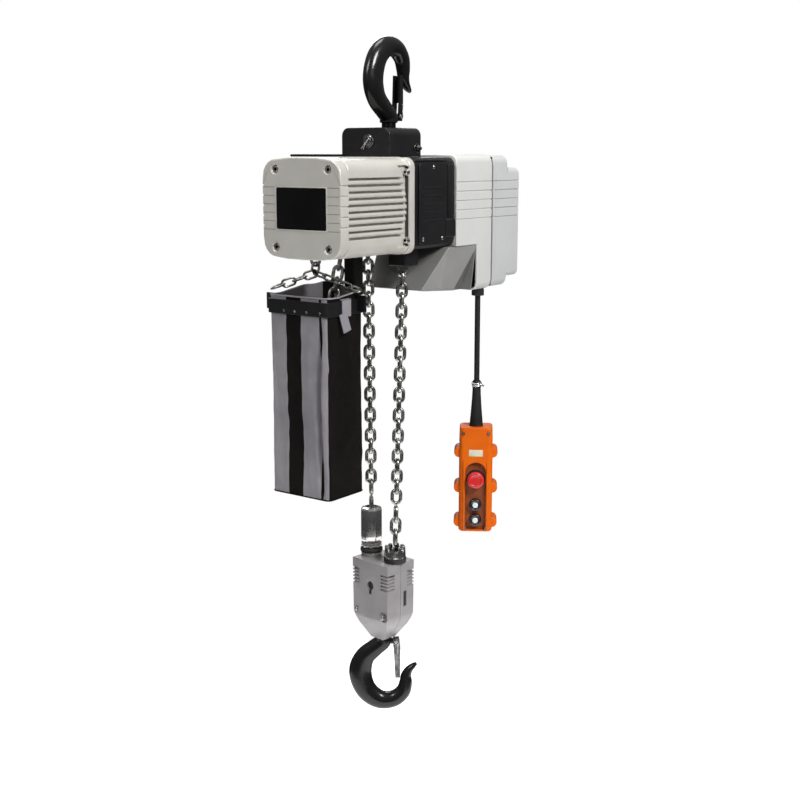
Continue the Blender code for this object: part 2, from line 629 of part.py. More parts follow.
def control_group(paint, steel):
    middle = (CONTROL_TOP + CONTROL_BOTTOM) / 2
    half = (CONTROL_TOP - CONTROL_BOTTOM) / 2
    housing = prism("control_housing", rounded_outline(SIDE_X, half, 0.016, 4, (0, middle)), "y",
                    CONTROL_FRONT, CONTROL_BACK, paint["grey"])
    hollow = prism("control_hollow", rounded_outline(SIDE_X - WALL, half - WALL, 0.010, 2,
                                                     (0, middle)), "y",
                   CONTROL_FRONT + 0.006, CONTROL_BACK + 0.01, paint["grey"])
    recess = boxes("control_recess", [((-0.12, 0.05, -0.50), (0.12, RECESS_BACK, RECESS_TOP))],
                   paint["grey"])
    shaft_hole = rod("control_shaft_hole", "y", (0, AXIS_Z), 0.0175, 0.08, 0.108, paint["grey"])
    cut(housing, hollow, recess, shaft_hole,
        groove_cutter("control_grooves", CONTROL_FRONT - 0.01, CONTROL_BACK + 0.01, paint))

    corners = []
    for side in (-1, 1):
        corners += [
            (side * 0.086, 0.080, RECESS_TOP - GAP), (side * 0.0885, 0.1735, RECESS_TOP - GAP),
            (side * 0.064, 0.018, -0.4405), (side * 0.080, 0.062, -0.4395),
            (side * 0.078, 0.1735, -0.4515), (side * 0.0885, 0.1735, -0.362),
            (side * 0.064, 0.026, -0.4425),
        ]
    lower = bmesh.new()
    made = [lower.verts.new(corner) for corner in corners]
    bmesh.ops.convex_hull(lower, input=made)
    finish_mesh("lower_housing", lower, paint["grey"], None, 12.0)

    high = CONTROL_TOP - 0.002
    low = CONTROL_BOTTOM + 0.002
    rear = prism("rear_cover", rounded_outline(SIDE_X - 0.0004, (high - low) / 2, 0.016, 4,
                                               (0, (high + low) / 2)),
                 "y", REAR_FRONT, REAR_STEP, paint["grey"])
    high, low = -0.209, -0.432
    main = prism("rear_cover_main", rounded_outline(SIDE_X, (high - low) / 2, 0.012, 4,
                                                    (0, (high + low) / 2)),
                 "y", REAR_FRONT + 0.010, REAR_BACK, paint["grey"])
    hollow = boxes("rear_hollow", [((-0.084, REAR_FRONT - 0.01, -0.425),
                                    (0.084, REAR_BACK - 0.006, -0.216))], paint["grey"])
    unite(rear, main)
    cut(rear, hollow, groove_cutter("rear_grooves", REAR_FRONT - 0.01, REAR_BACK + 0.01, paint))

    boxes("contactor", [((-0.060, 0.2330, -0.330), (0.020, 0.3000, -0.240))], paint["plastic"],
          None, 0.003)
    boxes("transformer", [((-0.050, 0.2330, -0.415), (0.030, 0.2900, -0.345))], paint["iron"],
          None, 0.003)


# ---------------------------------------------------------------- chains

def add_link(shape, centre, run, side, pitch, wire, width):
    """One link: eight square sections around a long ring, in the plane of run and side."""
    normal = run.cross(side).normalized()
    half_width = (width - wire) / 2
    half_length = pitch / 2 + wire / 2
    corner = half_width * 0.52
    reach = half_length * 0.52
    line = [(half_width, -reach), (half_width, reach), (corner, half_length),
            (-corner, half_length), (-half_width, reach), (-half_width, -reach),
            (-corner, -half_length), (corner, -half_length)]
    rings = []
    for i, (a, b) in enumerate(line):
        before = Vector(line[i - 1])
        after = Vector(line[(i + 1) % 8])
        here = Vector((a, b))
        first = (here - before).normalized()
        second = (after - here).normalized()
        bisector = (first + second).normalized()
        outward = Vector((bisector.y, -bisector.x))
        stretch = 1 / max(outward.dot(Vector((first.y, -first.x))), 0.5)
        ring = []
        for across, up in ((1, 1), (1, -1), (-1, -1), (-1, 1)):
            flat = here + outward * (across * wire / 2 * stretch)
            ring.append(centre + side * flat.x + run * flat.y + normal * (up * wire / 2))
        rings.append(ring)
    ring_loft(shape, rings, closed=True)


def make_chain(name, start, end, material, parent=None, pitch=CHAIN_PITCH, wire=CHAIN_WIRE,
               width=CHAIN_WIDTH, turn=45.0):
    """A straight run of links from start to end, fused where the links bear on each other."""
    run = (end - start).normalized()
    length = (end - start).length - 2 * wire - 2 * GAP
    count = max(1, round(length / pitch))
    pitch = length / count
    reference = Vector((1, 0, 0)) if abs(run.x) < 0.8 else Vector((0, 1, 0))
    side = (reference - run * reference.dot(run)).normalized()
    side.rotate(Matrix.Rotation(math.radians(turn), 3, run))
    other = run.cross(side)
    shapes = [bmesh.new(), bmesh.new()]
    for i in range(count):
        centre = start + run * (GAP + wire + pitch * (i + 0.5))
        add_link(shapes[i % 2], centre, run, (side, other)[i % 2], pitch - GAP, wire, width)
    chain = finish_mesh(name, shapes[0], material, parent, 20.0)
    if count > 1:
        odd = finish_mesh(name + "_odd", shapes[1], material, parent, 20.0)
        unite(chain, odd)
    else:
        shapes[1].free()
    return chain


def fall_points():
    """Where each fall ends on the block, and where it is split."""
    left = BLOCK + Matrix.Rotation(BLOCK_TURN, 3, "Z") @ Vector((-WHEEL_R, 0, 0))
    right = BLOCK + Matrix.Rotation(BLOCK_TURN, 3, "Z") @ Vector((WHEEL_R, 0, 0))
    left.z = BLOCK.z + STOP_LINK_Z + CHAIN_PITCH / 2 + CHAIN_WIRE
    right.z = BLOCK.z + 0.031
    return left, right


def chain_group(metal):
    left, right = fall_points()
    share = (RIGHT_FALL_TOP.z - FALL_SPLIT) / (RIGHT_FALL_TOP.z - right.z)
    split = RIGHT_FALL_TOP.lerp(right, share)
    make_chain("left_fall_upper", LEFT_FALL_TOP, left, metal["chain"])
    make_chain("right_fall_upper", RIGHT_FALL_TOP, split, metal["chain"])
    make_chain("right_fall_lower", split, right, metal["chain"])
    make_chain("slack_chain", Vector((-0.058, -0.075, -0.3675)), Vector((-0.062, -0.118, -0.530)),
               metal["chain"])


# ---------------------------------------------------------------- hook block

def block_group(paint, steel):
    frame = add_empty("block_frame", BLOCK, BLOCK_TURN)
    front = block_half("block_shell_front", -1, paint, frame)
    rear = block_half("block_shell_rear", 1, paint, frame)
    profile = [(0.0092, -0.011), (0.038, -0.011), (0.027, -0.004), (0.027, 0.004),
               (0.038, 0.011), (0.0092, 0.011)]
    wheel_frame = add_empty("idler_frame", (0, 0, BLOCK_WHEEL_Z), 0.0, frame)
    turned("idler_sheave", profile, "y", (0, 0), steel, wheel_frame, 16, ring=True)
    rod("sheave_axle", "y", (0, BLOCK_WHEEL_Z), 0.0085, -0.030, 0.030, steel, frame)
    for name, side in (("block_bolt_left", -1), ("block_bolt_right", 1)):
        profile = [(0.0035, -0.0435), (0.0035, 0.0385), (0.0062, 0.0385), (0.0062, 0.0440)]
        if side == 1:
            profile = [(radius, -along) for radius, along in profile]
        turned(name, profile, "y", (side * 0.0375, BLOCK_BOLT_Z), steel, frame, 10)

    low = GAP
    for name, side, top in (("left_buffer", -1, 0.029), ("right_buffer", 1, 0.033)):
        profile = [(0.0135, low), (0.0225, low), (0.0225, 0.011), (0.0195, 0.012),
                   (0.0195, top), (0.0135, top)]
        turned(name, profile, "z", (side * WHEEL_R, 0), paint["buffer"], frame, 14, ring=True)
    stop = bmesh.new()
    rings = []
    for radius, z in ((0.016, 0.0295), (0.022, 0.036), (0.023, 0.042), (0.023, 0.096),
                      (0.019, 0.102), (0.011, 0.103)):
        rings.append([(a - WHEEL_R, b, z) for a, b in circle(radius, 8, (0, 0), math.pi / 8)])
    ring_loft(stop, rings)
    stop = finish_mesh("limit_stop", stop, steel, frame, 20.0)
    shape = bmesh.new()
    add_link(shape, Vector((-WHEEL_R, 0, STOP_LINK_Z)), Vector((0, 0, 1)),
             Vector((1, -1, 0)).normalized(), CHAIN_PITCH - 2 * GAP, CHAIN_WIRE, CHAIN_WIDTH)
    unite(stop, finish_mesh("stop_link", shape, steel, frame))
    return frame


def block_half(name, side, paint, frame):
    """One cast half of the hook block; side is -1 for the front half and 1 for the rear one."""
    half_x, half_y, height = BLOCK_HALF_X, BLOCK_HALF_Y, BLOCK_HEIGHT
    outline = [(-half_x, 0), (half_x, 0), (half_x - 0.002, -0.112)]
    arc = [(half_x - 0.006, -0.126), (half_x - 0.014, -0.141), (half_x - 0.024, -0.154),
           (0.017, -height)]
    outline += arc + [(-a, b) for a, b in arc[::-1]] + [(-half_x + 0.002, -0.112)]
    ends = sorted((side * GAP / 2, side * half_y))
    half = prism(name, outline, "y", *ends, paint["cast"], frame, 25.0)
    profile = [(-half_y, 0.01), (half_y, 0.01), (half_y, -0.118), (half_y - 0.006, -0.138),
               (0.018, -height - 0.001), (-0.018, -height - 0.001), (-half_y + 0.006, -0.138),
               (-half_y, -0.118)]
    taper = prism(name + "_taper", profile, "x", -0.08, 0.08, paint["cast"], frame)
    boolean(half, taper, "INTERSECT")
    wheel_room = rod(name + "_wheel_room", "y", (0, BLOCK_WHEEL_Z), 0.0465, -0.0135, 0.0135,
                     paint["cast"], frame, 32)
    bores = bmesh.new()
    for x in (-WHEEL_R, WHEEL_R):
        ring_loft(bores, [[(a, b, z) for a, b in circle(0.0134, 16, (x, 0))]
                          for z in (BLOCK_WHEEL_Z, 0.02)])
    bores = finish_mesh(name + "_bores", bores, paint["cast"], frame)
    axle = rod(name + "_axle_seat", "y", (0, BLOCK_WHEEL_Z), 0.0085 + GAP, -0.0304, 0.0304,
               paint["cast"], frame)
    shank = turned(name + "_shank_room", [(0.0150, -0.18), (0.0150, -0.137), (0.0215, -0.137),
                                          (0.0215, -0.112)], "z", (0, 0), paint["cast"], frame, 16)
    bolts = bmesh.new()
    for x in (-0.0375, 0.0375):
        ring_loft(bolts, [[(x + a, y, BLOCK_BOLT_Z + b) for a, b in circle(0.0038, 12)]
                          for y in (-0.06, 0.06)])
    bolts = finish_mesh(name + "_bolt_holes", bolts, paint["cast"], frame)
    cut(half, wheel_room, bores, axle, shank, bolts, corner_grooves(name, paint, frame))
    return half


def corner_grooves(name, paint, frame):
    """Five horizontal grooves around each vertical edge of the block."""
    shape = bmesh.new()
    for side_x in (-1, 1):
        for side_y in (-1, 1):
            for i in range(5):
                z = -0.022 - 0.0072 * i
                outline = [(side_x * (BLOCK_HALF_X + 0.004), side_y * (BLOCK_HALF_Y - 0.018)),
                           (side_x * (BLOCK_HALF_X + 0.004), side_y * (BLOCK_HALF_Y + 0.004)),
                           (side_x * (BLOCK_HALF_X - 0.020), side_y * (BLOCK_HALF_Y + 0.004)),
                           (side_x * (BLOCK_HALF_X - 0.020), side_y * (BLOCK_HALF_Y - 0.0022)),
                           (side_x * (BLOCK_HALF_X - 0.0022), side_y * (BLOCK_HALF_Y - 0.0022)),
                           (side_x * (BLOCK_HALF_X - 0.0022), side_y * (BLOCK_HALF_Y - 0.018))]
                ring_loft(shape, [[(a, b, level) for a, b in outline]
                                  for level in (z - 0.0014, z + 0.0014)])
    return finish_mesh(name + "_grooves", shape, paint["cast"], frame)


def bottom_hook_group(paint, steel):
    frame = add_empty("bottom_hook_frame", BLOCK + Vector((0, 0, -BLOCK_HEIGHT - 0.0006)), HOOK_TURN)
    make_hook("bottom_hook", 0.050, paint["hook"], frame)
    make_latch("bottom_hook_latch", paint["latch"], frame)
    make_latch_pin("bottom_latch_pin", steel, frame)
    collar("bottom_hook_nut", SHANK_R + GAP, 0.0195, "z", (0, 0), 0.0330, 0.0480, steel, frame, 12)


# ---------------------------------------------------------------- chain bag

def bag_ring(half_x, half_y, z, radius=0.010):
    return [(a, b, z) for a, b in rounded_outline(half_x, half_y, radius, 2)]


def bag_group(paint, metal):
    frame = add_empty("bag_swing", BAG)
    down = -BAG.z
    top, bottom = FRAME_TOP + down, FRAME_BOTTOM + down
    strap = bmesh.new()
    inner_x, inner_y = BAG_HALF_X - 0.003, BAG_HALF_Y - 0.003
    ring_loft(strap, [bag_ring(BAG_HALF_X, BAG_HALF_Y, bottom), bag_ring(BAG_HALF_X, BAG_HALF_Y, top),
                      bag_ring(inner_x, inner_y, top, 0.007),
                      bag_ring(inner_x, inner_y, bottom, 0.007)], closed=True)
    strap = finish_mesh("bag_frame", strap, paint["black"], frame)
    for name, side in (("left", -1), ("right", 1)):
        low_x, high_x = sorted((side * (BAG_HALF_X - 0.001), side * (BAG_HALF_X + 0.020)))
        ear = boxes(f"bag_ear_{name}", [((low_x, side * EAR_Y - 0.002, bottom + 0.004),
                                         (high_x, side * EAR_Y + 0.002, top + EAR_HEIGHT))],
                    paint["black"], frame)
        unite(strap, ear)

    fabric_x, fabric_y = inner_x - 2 * GAP, inner_y - 2 * GAP
    rim, floor = BAG_RIM + down, BAG_BOTTOM + down
    outer = [bag_ring(0.0735, 0.0525, floor), bag_ring(0.0745, 0.0545, floor + 0.05),
             bag_ring(0.0750, 0.0560, bottom - 0.012), bag_ring(fabric_x, fabric_y, bottom - 0.002),
             bag_ring(fabric_x, fabric_y, rim)]
    inner = [[(x * 0.955, y * 0.945, z) for x, y, z in ring] for ring in outer[::-1]]
    inner[-1] = [(x, y, floor + BAG_WALL) for x, y, _ in inner[-1]]
    fabric = bmesh.new()
    ring_loft(fabric, outer + inner)
    finish_mesh("chain_bag", fabric, paint["fabric"], frame)

    ring_r, eye_wire, ring_wire = 0.0100, 0.0030, 0.0025
    eye = torus("bag_eye", BAG + Vector((0, 0, ring_r - eye_wire - GAP)), "y", ring_r, eye_wire,
                metal["chain"])
    stem = rod("bag_eye_stem", "z", (BAG.x, BAG.y), 0.0045, BAG.z + 2 * ring_r - eye_wire,
               AXIS_Z - MOTOR_HALF_Z - GAP, metal["chain"], None, 10)
    unite(eye, stem)

    wire = 0.0045
    ring = torus("bag_hanger", Vector((0, 0, ring_wire + GAP - ring_r)), "x", ring_r, ring_wire,
                 metal["chain"], frame)
    apex = Vector((0, 0, ring_wire + GAP - 2 * ring_r))
    for name, side in (("left", -1), ("right", 1)):
        ear = Vector((side * (BAG_HALF_X + 0.011), side * EAR_Y, top + EAR_HEIGHT + 0.007))
        outward = (ear - apex).normalized()
        chain = make_chain(f"hanger_{name}", apex - outward * (wire + GAP) * 1.2, ear,
                           metal["chain"], frame, 0.019, wire, 0.0155, 20.0 if side == 1 else 70.0)
        unite(ring, chain)


def torus(name, centre, axis, radius, wire, material, parent=None, count=12, sides=5):
    """A ring of round wire about an axis."""
    shape = bmesh.new()
    rings = []
    for i in range(count):
        angle = 2 * math.pi * i / count
        ring = []
        for k in range(sides):
            turn = 2 * math.pi * k / sides
            out = radius + wire * math.cos(turn)
            side = wire * math.sin(turn)
            point = on_axis(axis, out * math.cos(angle), out * math.sin(angle), side)
            ring.append(Vector(point) + centre)
        rings.append(ring)
    ring_loft(shape, rings, closed=True)
    return finish_mesh(name, shape, material, parent)


# ---------------------------------------------------------------- pendant

def pendant_group(paint):
    swing = add_empty("pendant_swing", CABLE)
    down = -CABLE.z
    collar("cable_gland", 0.0085, 0.0130, "z", (CABLE.x, CABLE.y), -0.4665, CONTROL_BOTTOM - GAP,
           paint["rubber"], None, 12)

    curve = bpy.data.curves.new("pendant_cable", "CURVE")
    curve.dimensions = "3D"
    line = curve.splines.new("POLY")
    top, bottom = -0.4555 + down, BOOT_TOP + 0.0103 + down
    count = 12
    line.points.add(count - 1)
    for i in range(count):
        line.points[i].co = (0, 0, top + (bottom - top) * i / (count - 1), 1)
    curve.bevel_depth = CABLE_R
    curve.bevel_resolution = 2
    curve.use_fill_caps = True
    curve.materials.append(paint["rubber"])
    cable = bpy.data.objects.new("pendant_cable", curve)
    bpy.context.scene.collection.objects.link(cable)
    cable.parent = swing

    profile = [(0.0078, BOOT_TOP + 0.010), (0.0092, BOOT_TOP + 0.006), (0.0092, BOOT_TOP - 0.004),
               (0.0084, BOOT_TOP - 0.008), (0.0096, BOOT_TOP - 0.035), (0.0145, PENDANT_TOP + 0.004),
               (0.0145, PENDANT_TOP - 0.0097)]
    profile = [(radius, along + down) for radius, along in profile]
    turned("cable_boot", profile, "z", (0, 0), paint["rubber"], swing, 12)

    frame = add_empty("pendant_frame", (0, 0, PENDANT_TOP + down), PENDANT_TURN, swing)
    pendant_shell(paint, frame)
    buttons(paint, frame)


def arch(half, low, high, grow=0.0):
    """A slot outline: square at the bottom, round at the top."""
    half += grow
    points = [(-half, low - grow), (half, low - grow)]
    centre = high - (half - grow)
    for step in range(9):
        angle = math.pi * step / 8
        points.append((half * math.cos(angle), centre + half * math.sin(angle)))
    return points


def pendant_shell(paint, frame):
    height = PENDANT_TOP - PENDANT_BOTTOM
    orange = paint["orange"]
    section = rounded_outline(PENDANT_HALF_X, PENDANT_HALF_Y, 0.010, 3)
    shape = bmesh.new()
    rings = []
    for z, share in ((0, 0.93), (-0.003, 0.98), (-0.030, 1.0), (-0.036, 0.97), (-0.042, 0.97),
                     (-0.046, 1.0), (-height + 0.004, 1.0), (-height, 0.95)):
        rings.append([(a * share, b * share, z) for a, b in section])
    ring_loft(shape, rings)
    shell = finish_mesh("pendant_shell", shape, orange, frame)
    for i, z in enumerate((-0.054, -0.130, -0.205)):
        outline = rounded_outline(0.0455, 0.011, 0.010, 3, (0, z))
        lug = prism(f"pendant_lug_{i}", outline, "y", -0.021, 0.021, orange, frame)
        unite(shell, lug)
    hollow = boxes("pendant_hollow", [((-0.030, -0.0240, -height + 0.006),
                                       (0.030, 0.0240, -0.020))], orange, frame)
    window = prism("pendant_window", arch(0.0215, -0.2205, -0.074), "y", -0.05, -0.015, orange,
                   frame)
    boot_hole = rod("boot_hole", "z", (0, 0), 0.0145 + GAP, -0.0100, 0.02, orange, frame)
    cut(shell, hollow, window, boot_hole)
    panel = prism("pendant_panel", arch(0.0215, -0.2205, -0.074, -GAP), "y",
                  PANEL_FRONT, PANEL_BACK, paint["panel"], frame)
    holes = [rod(f"panel_hole_{i}", "y", (0, z), radius, -0.04, 0.0, orange, frame)
             for i, (z, radius) in enumerate(((-0.110, 0.0085), (-0.166, 0.0130), (-0.199, 0.0130)))]
    cut(panel, *holes)


def buttons(paint, frame):
    for name, z, slot in (("up_button", -0.166, "button"), ("down_button", -0.199, "button")):
        place = add_empty(name + "_slide", (0, 0, z), 0.0, frame)
        profile = [(0.0105, -0.0310), (0.0125, -0.0295), (0.0125, -0.0166), (0.0145, -0.0166),
                   (0.0145, -0.0140)]
        turned(name, profile, "y", (0, 0), paint[slot], place, 14)
    place = add_empty("estop_slide", (0, 0, -0.110), 0.0, frame)
    profile = [(0.012, -0.0420), (0.0165, -0.0400), (0.0178, -0.0360), (0.0165, -0.0300),
               (0.0080, -0.0295), (0.0080, -0.0166), (0.0110, -0.0166), (0.0110, -0.0140)]
    turned("estop_button", profile, "y", (0, 0), paint["red"], place, 16)


def main():
    clear_scene()
    steel = make_material("zinc_steel", (0.62, 0.62, 0.61), 0.32, 1.0)
    paint = {
        "silver": make_material("silver_enamel", (0.60, 0.61, 0.58), 0.42),
        "grey": make_material("light_grey_enamel", (0.62, 0.62, 0.61), 0.45),
        "black": make_material("black_enamel", (0.018, 0.018, 0.020), 0.38),
        "plate": make_material("gloss_black_plate", (0.006, 0.006, 0.006), 0.18),
        "iron": make_material("laminated_iron", (0.25, 0.24, 0.23), 0.55, 0.8),
        "plastic": make_material("grey_plastic", (0.20, 0.21, 0.22), 0.5),
        "hook": make_material("forged_black", (0.014, 0.013, 0.013), 0.34),
        "latch": make_material("latch_steel", (0.16, 0.16, 0.16), 0.35, 0.9),
        "cast": make_material("cast_aluminium", (0.36, 0.35, 0.35), 0.5, 0.6),
        "buffer": make_material("buffer_rubber", (0.03, 0.03, 0.03), 0.7),
        "fabric": make_material("bag_fabric", (0.16, 0.155, 0.18), 0.9),
        "rubber": make_material("black_rubber", (0.016, 0.016, 0.016), 0.65),
        "orange": make_material("orange_plastic", (0.83, 0.22, 0.015), 0.45),
        "panel": make_material("panel_plastic", (0.30, 0.09, 0.02), 0.5),
        "button": make_material("button_black", (0.015, 0.015, 0.015), 0.35),
        "red": make_material("stop_red", (0.62, 0.03, 0.03), 0.35),
    }
    metal = {"chain": make_material("chain_steel", (0.42, 0.42, 0.40), 0.34, 1.0)}
    top_hook_group(paint, steel)
    suspension_group(paint, steel)
    motor_group(paint, steel)
    lifting_body(paint)
    wheels_and_gears(paint, steel)
    control_group(paint, steel)
    chain_group(metal)
    block_group(paint, steel)
    bottom_hook_group(paint, steel)
    bag_group(paint, metal)
    pendant_group(paint)


main()
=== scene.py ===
"""Looks of the electric chain hoist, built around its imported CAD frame. Metres, +Z up."""

import json
import math

import bmesh
import bpy
from mathutils import Matrix, Vector, noise


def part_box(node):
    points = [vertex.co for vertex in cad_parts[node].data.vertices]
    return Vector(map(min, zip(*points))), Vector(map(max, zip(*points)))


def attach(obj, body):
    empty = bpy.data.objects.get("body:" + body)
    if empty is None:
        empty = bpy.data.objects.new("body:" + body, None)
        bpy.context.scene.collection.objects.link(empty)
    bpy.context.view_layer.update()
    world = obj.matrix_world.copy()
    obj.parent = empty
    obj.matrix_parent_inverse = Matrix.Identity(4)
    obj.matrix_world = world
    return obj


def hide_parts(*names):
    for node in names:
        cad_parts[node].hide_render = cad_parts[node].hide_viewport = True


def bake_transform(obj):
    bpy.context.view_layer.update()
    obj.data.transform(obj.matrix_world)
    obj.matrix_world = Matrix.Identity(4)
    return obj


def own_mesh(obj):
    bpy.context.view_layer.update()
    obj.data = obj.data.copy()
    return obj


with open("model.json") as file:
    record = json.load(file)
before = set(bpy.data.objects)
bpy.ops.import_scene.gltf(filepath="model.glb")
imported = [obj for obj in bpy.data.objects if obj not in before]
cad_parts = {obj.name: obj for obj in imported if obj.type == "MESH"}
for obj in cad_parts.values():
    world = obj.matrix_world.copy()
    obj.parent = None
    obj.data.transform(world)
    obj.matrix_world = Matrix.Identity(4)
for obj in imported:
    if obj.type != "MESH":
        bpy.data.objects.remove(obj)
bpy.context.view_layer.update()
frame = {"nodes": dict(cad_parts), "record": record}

SLOT_OF = {part["node"]: part["material_slot"] for part in frame["record"]["subparts"]}
BODY_OF = {node: body for body, nodes in frame["record"]["behaviour"]["bodies"].items()
           for node in nodes}

# Places shared with the CAD
AXIS_Z = -0.276                                  # the motor's axis
HOOK_BOWL = 0.122                                # from a hook's neck to its saddle
WHEEL_R = 0.034                                  # radius at which the falls leave both wheels
FALL_TOP_Z, FALL_SPLIT_Z = -0.3595, -0.872
CHAIN_PITCH, CHAIN_WIRE, CHAIN_WIDTH = 0.021, 0.0071, 0.024
CHAIN_SEAT = 0.0003 + CHAIN_WIRE                 # from a run's end to its first link's pitch
BAG_PIVOT = Vector((-0.074, -0.133, -0.385))
CABLE_X, CABLE_Y, CABLE_DIAMETER = 0.068, 0.213, 0.0115

moved = Matrix.Translation


def rotation(degrees, axis):
    return Matrix.Rotation(math.radians(degrees), 4, axis)


top_hook_place = moved((0, 0, -HOOK_BOWL)) @ rotation(90, "Z") @ rotation(180, "X")
block_place = moved((-0.016, 0, -0.991)) @ rotation(-8, "Z")
bottom_hook_place = moved((-0.016, 0, -1.1606)) @ rotation(36, "Z")
pendant_place = moved((CABLE_X, CABLE_Y, -0.740)) @ rotation(33, "Z")
ALONG_X, ALONG_Y, UP = Vector((1, 0, 0)), Vector((0, 1, 0)), Vector((0, 0, 1))
facing_front = rotation(90, "X")                 # local Z turned to -Y
facing_right = rotation(90, "Y")                 # local Z turned to +X


def add_object(name, data):
    made = bpy.data.objects.new(name, data)
    bpy.context.scene.collection.objects.link(made)
    return made


def add_node(tree, kind, **values):
    """A shader node with its inputs or its settings given by name."""
    made = tree.nodes.new(kind)
    for key, value in values.items():
        title = key.replace("_", " ").title()
        if title in made.inputs:
            made.inputs[title].default_value = value
        else:
            setattr(made, key, value)
    return made


def remap(tree, value, low, high, from_low=0.3, from_high=0.7):
    made = tree.nodes.new("ShaderNodeMapRange")
    for key, number in (("From Min", from_low), ("From Max", from_high),
                        ("To Min", low), ("To Max", high)):
        made.inputs[key].default_value = number
    tree.links.new(value, made.inputs["Value"])
    return made.outputs[0]


# ---------------- camera and light

def make_camera():
    data = bpy.data.cameras.new("camera")
    data.lens = 56.7
    data.sensor_width = 36.0
    camera = add_object("camera", data)
    camera.location = (1.4775, -1.9607, -0.177)
    camera.rotation_euler = (math.radians(90 - 11.14), 0, math.radians(36.5))
    bpy.context.scene.camera = camera


def area_light(name, place, target, size, power):
    data = bpy.data.lights.new(name, "AREA")
    data.size = size
    data.energy = power
    light = add_object(name, data)
    light.location = place
    light.rotation_euler = (Vector(target) - Vector(place)).to_track_quat("-Z", "Y").to_euler()


def make_world():
    """A surround that is white to the camera, and lights the object more from above than below."""
    dim, bright = 0.05, 0.42
    world = bpy.data.worlds.new("studio")
    bpy.context.scene.world = world
    world.use_nodes = True
    tree = world.node_tree
    tree.nodes.clear()
    coordinates = tree.nodes.new("ShaderNodeTexCoord")
    parts = tree.nodes.new("ShaderNodeSeparateXYZ")
    tree.links.new(coordinates.outputs["Generated"], parts.inputs[0])
    lighting, seen = (add_node(tree, "ShaderNodeBackground", color=(1, 1, 1, 1)) for _ in range(2))
    tree.links.new(remap(tree, parts.outputs["Z"], dim, bright, -0.3, 0.9), lighting.inputs["Strength"])
    ray = tree.nodes.new("ShaderNodeLightPath")
    mix = tree.nodes.new("ShaderNodeMixShader")
    tree.links.new(ray.outputs["Is Camera Ray"], mix.inputs[0])
    tree.links.new(lighting.outputs[0], mix.inputs[1])
    tree.links.new(seen.outputs[0], mix.inputs[2])
    output = tree.nodes.new("ShaderNodeOutputWorld")
    tree.links.new(mix.outputs[0], output.inputs["Surface"])


def make_floor():
    mesh = bpy.data.meshes.new("floor")
    half, level = 1.8, -2.1
    mesh.from_pydata([(-half, -half, 0), (half, -half, 0), (half, half, 0), (-half, half, 0)],
                     [], [(0, 1, 2, 3)])
    floor = add_object("floor", mesh)
    floor.location.z = level
    material = bpy.data.materials.new("floor_paper")
    material.use_nodes = True
    shader = material.node_tree.nodes["Principled BSDF"]
    shader.inputs["Base Color"].default_value = (0.9, 0.9, 0.9, 1)
    shader.inputs["Roughness"].default_value = 0.9
    shader.inputs["Emission Color"].default_value = (1, 1, 1, 1)
    shader.inputs["Emission Strength"].default_value = 0.9
    mesh.materials.append(material)


bpy.context.scene.view_settings.view_transform = "Standard"
make_camera()
make_world()
make_floor()
area_light("key", (2.6, -0.5, 1.55), (0, 0, -0.45), 1.0, 122)
area_light("top", (-0.3, 0.2, 2.4), (0, 0, -0.4), 1.2, 36)
area_light("back", (-2.4, 2.6, 1.4), (0, 0, -0.5), 1.4, 34)
area_light("front", (-0.5, -2.7, 1.7), (0, 0, -0.6), 1.2, 52)


# ---------------- materials

def start_material(name, rough=0.5, metal=0.0, coat=0.0, sheen=0.0, shine=0.5):
    material = bpy.data.materials.new(name)
    material.use_nodes = True
    tree = material.node_tree
    shader = tree.nodes["Principled BSDF"]
    shader.inputs["Roughness"].default_value = rough
    shader.inputs["Metallic"].default_value = metal
    shader.inputs["Coat Weight"].default_value = coat
    shader.inputs["Coat Roughness"].default_value = 0.12
    shader.inputs["Sheen Weight"].default_value = sheen
    shader.inputs["Specular IOR Level"].default_value = shine
    return material, tree, shader


def object_noise(tree, scale, detail=4.0, roughness=0.55):
    coordinates = tree.nodes.new("ShaderNodeTexCoord")
    made = add_node(tree, "ShaderNodeTexNoise", scale=scale, detail=detail, roughness=roughness)
    tree.links.new(coordinates.outputs["Object"], made.inputs["Vector"])
    return made.outputs["Fac"]


def mix_colour(tree, value, dark, light):
    made = tree.nodes.new("ShaderNodeMix")
    made.data_type = "RGBA"
    colours = [socket for socket in made.inputs if socket.type == "RGBA"]
    colours[0].default_value = (*dark, 1)
    colours[1].default_value = (*light, 1)
    tree.links.new(value, made.inputs["Factor"])
    return next(socket for socket in made.outputs if socket.type == "RGBA")


def add_bump(tree, shader, heights, distance, strength=1.0):
    """Bumps one after another, each from its own height."""
    last = None
    for height in heights:
        made = add_node(tree, "ShaderNodeBump", strength=strength, distance=distance)
        tree.links.new(height, made.inputs["Height"])
        if last:
            tree.links.new(last, made.inputs["Normal"])
        last = made.outputs["Normal"]
    tree.links.new(last, shader.inputs["Normal"])


def finish_surface(name, dark, light, rough, patch=14.0, grain=900.0, depth=0.00004,
                   metal=0.0, coat=0.0, orange_peel=0.0, shine=0.5):
    """Paint, metal or plastic: soft colour patches, uneven gloss and a fine grain."""
    material, tree, shader = start_material(name, metal=metal, coat=coat, shine=shine)
    patches = object_noise(tree, patch)
    tree.links.new(mix_colour(tree, remap(tree, patches, 0, 1), dark, light),
                   shader.inputs["Base Color"])
    smudge = object_noise(tree, patch * 5.3, 6.0)
    tree.links.new(remap(tree, smudge, *rough), shader.inputs["Roughness"])
    heights = [object_noise(tree, grain, 2.0)]
    if orange_peel:
        heights.append(object_noise(tree, orange_peel, 1.0))
    add_bump(tree, shader, heights, depth)
    return material


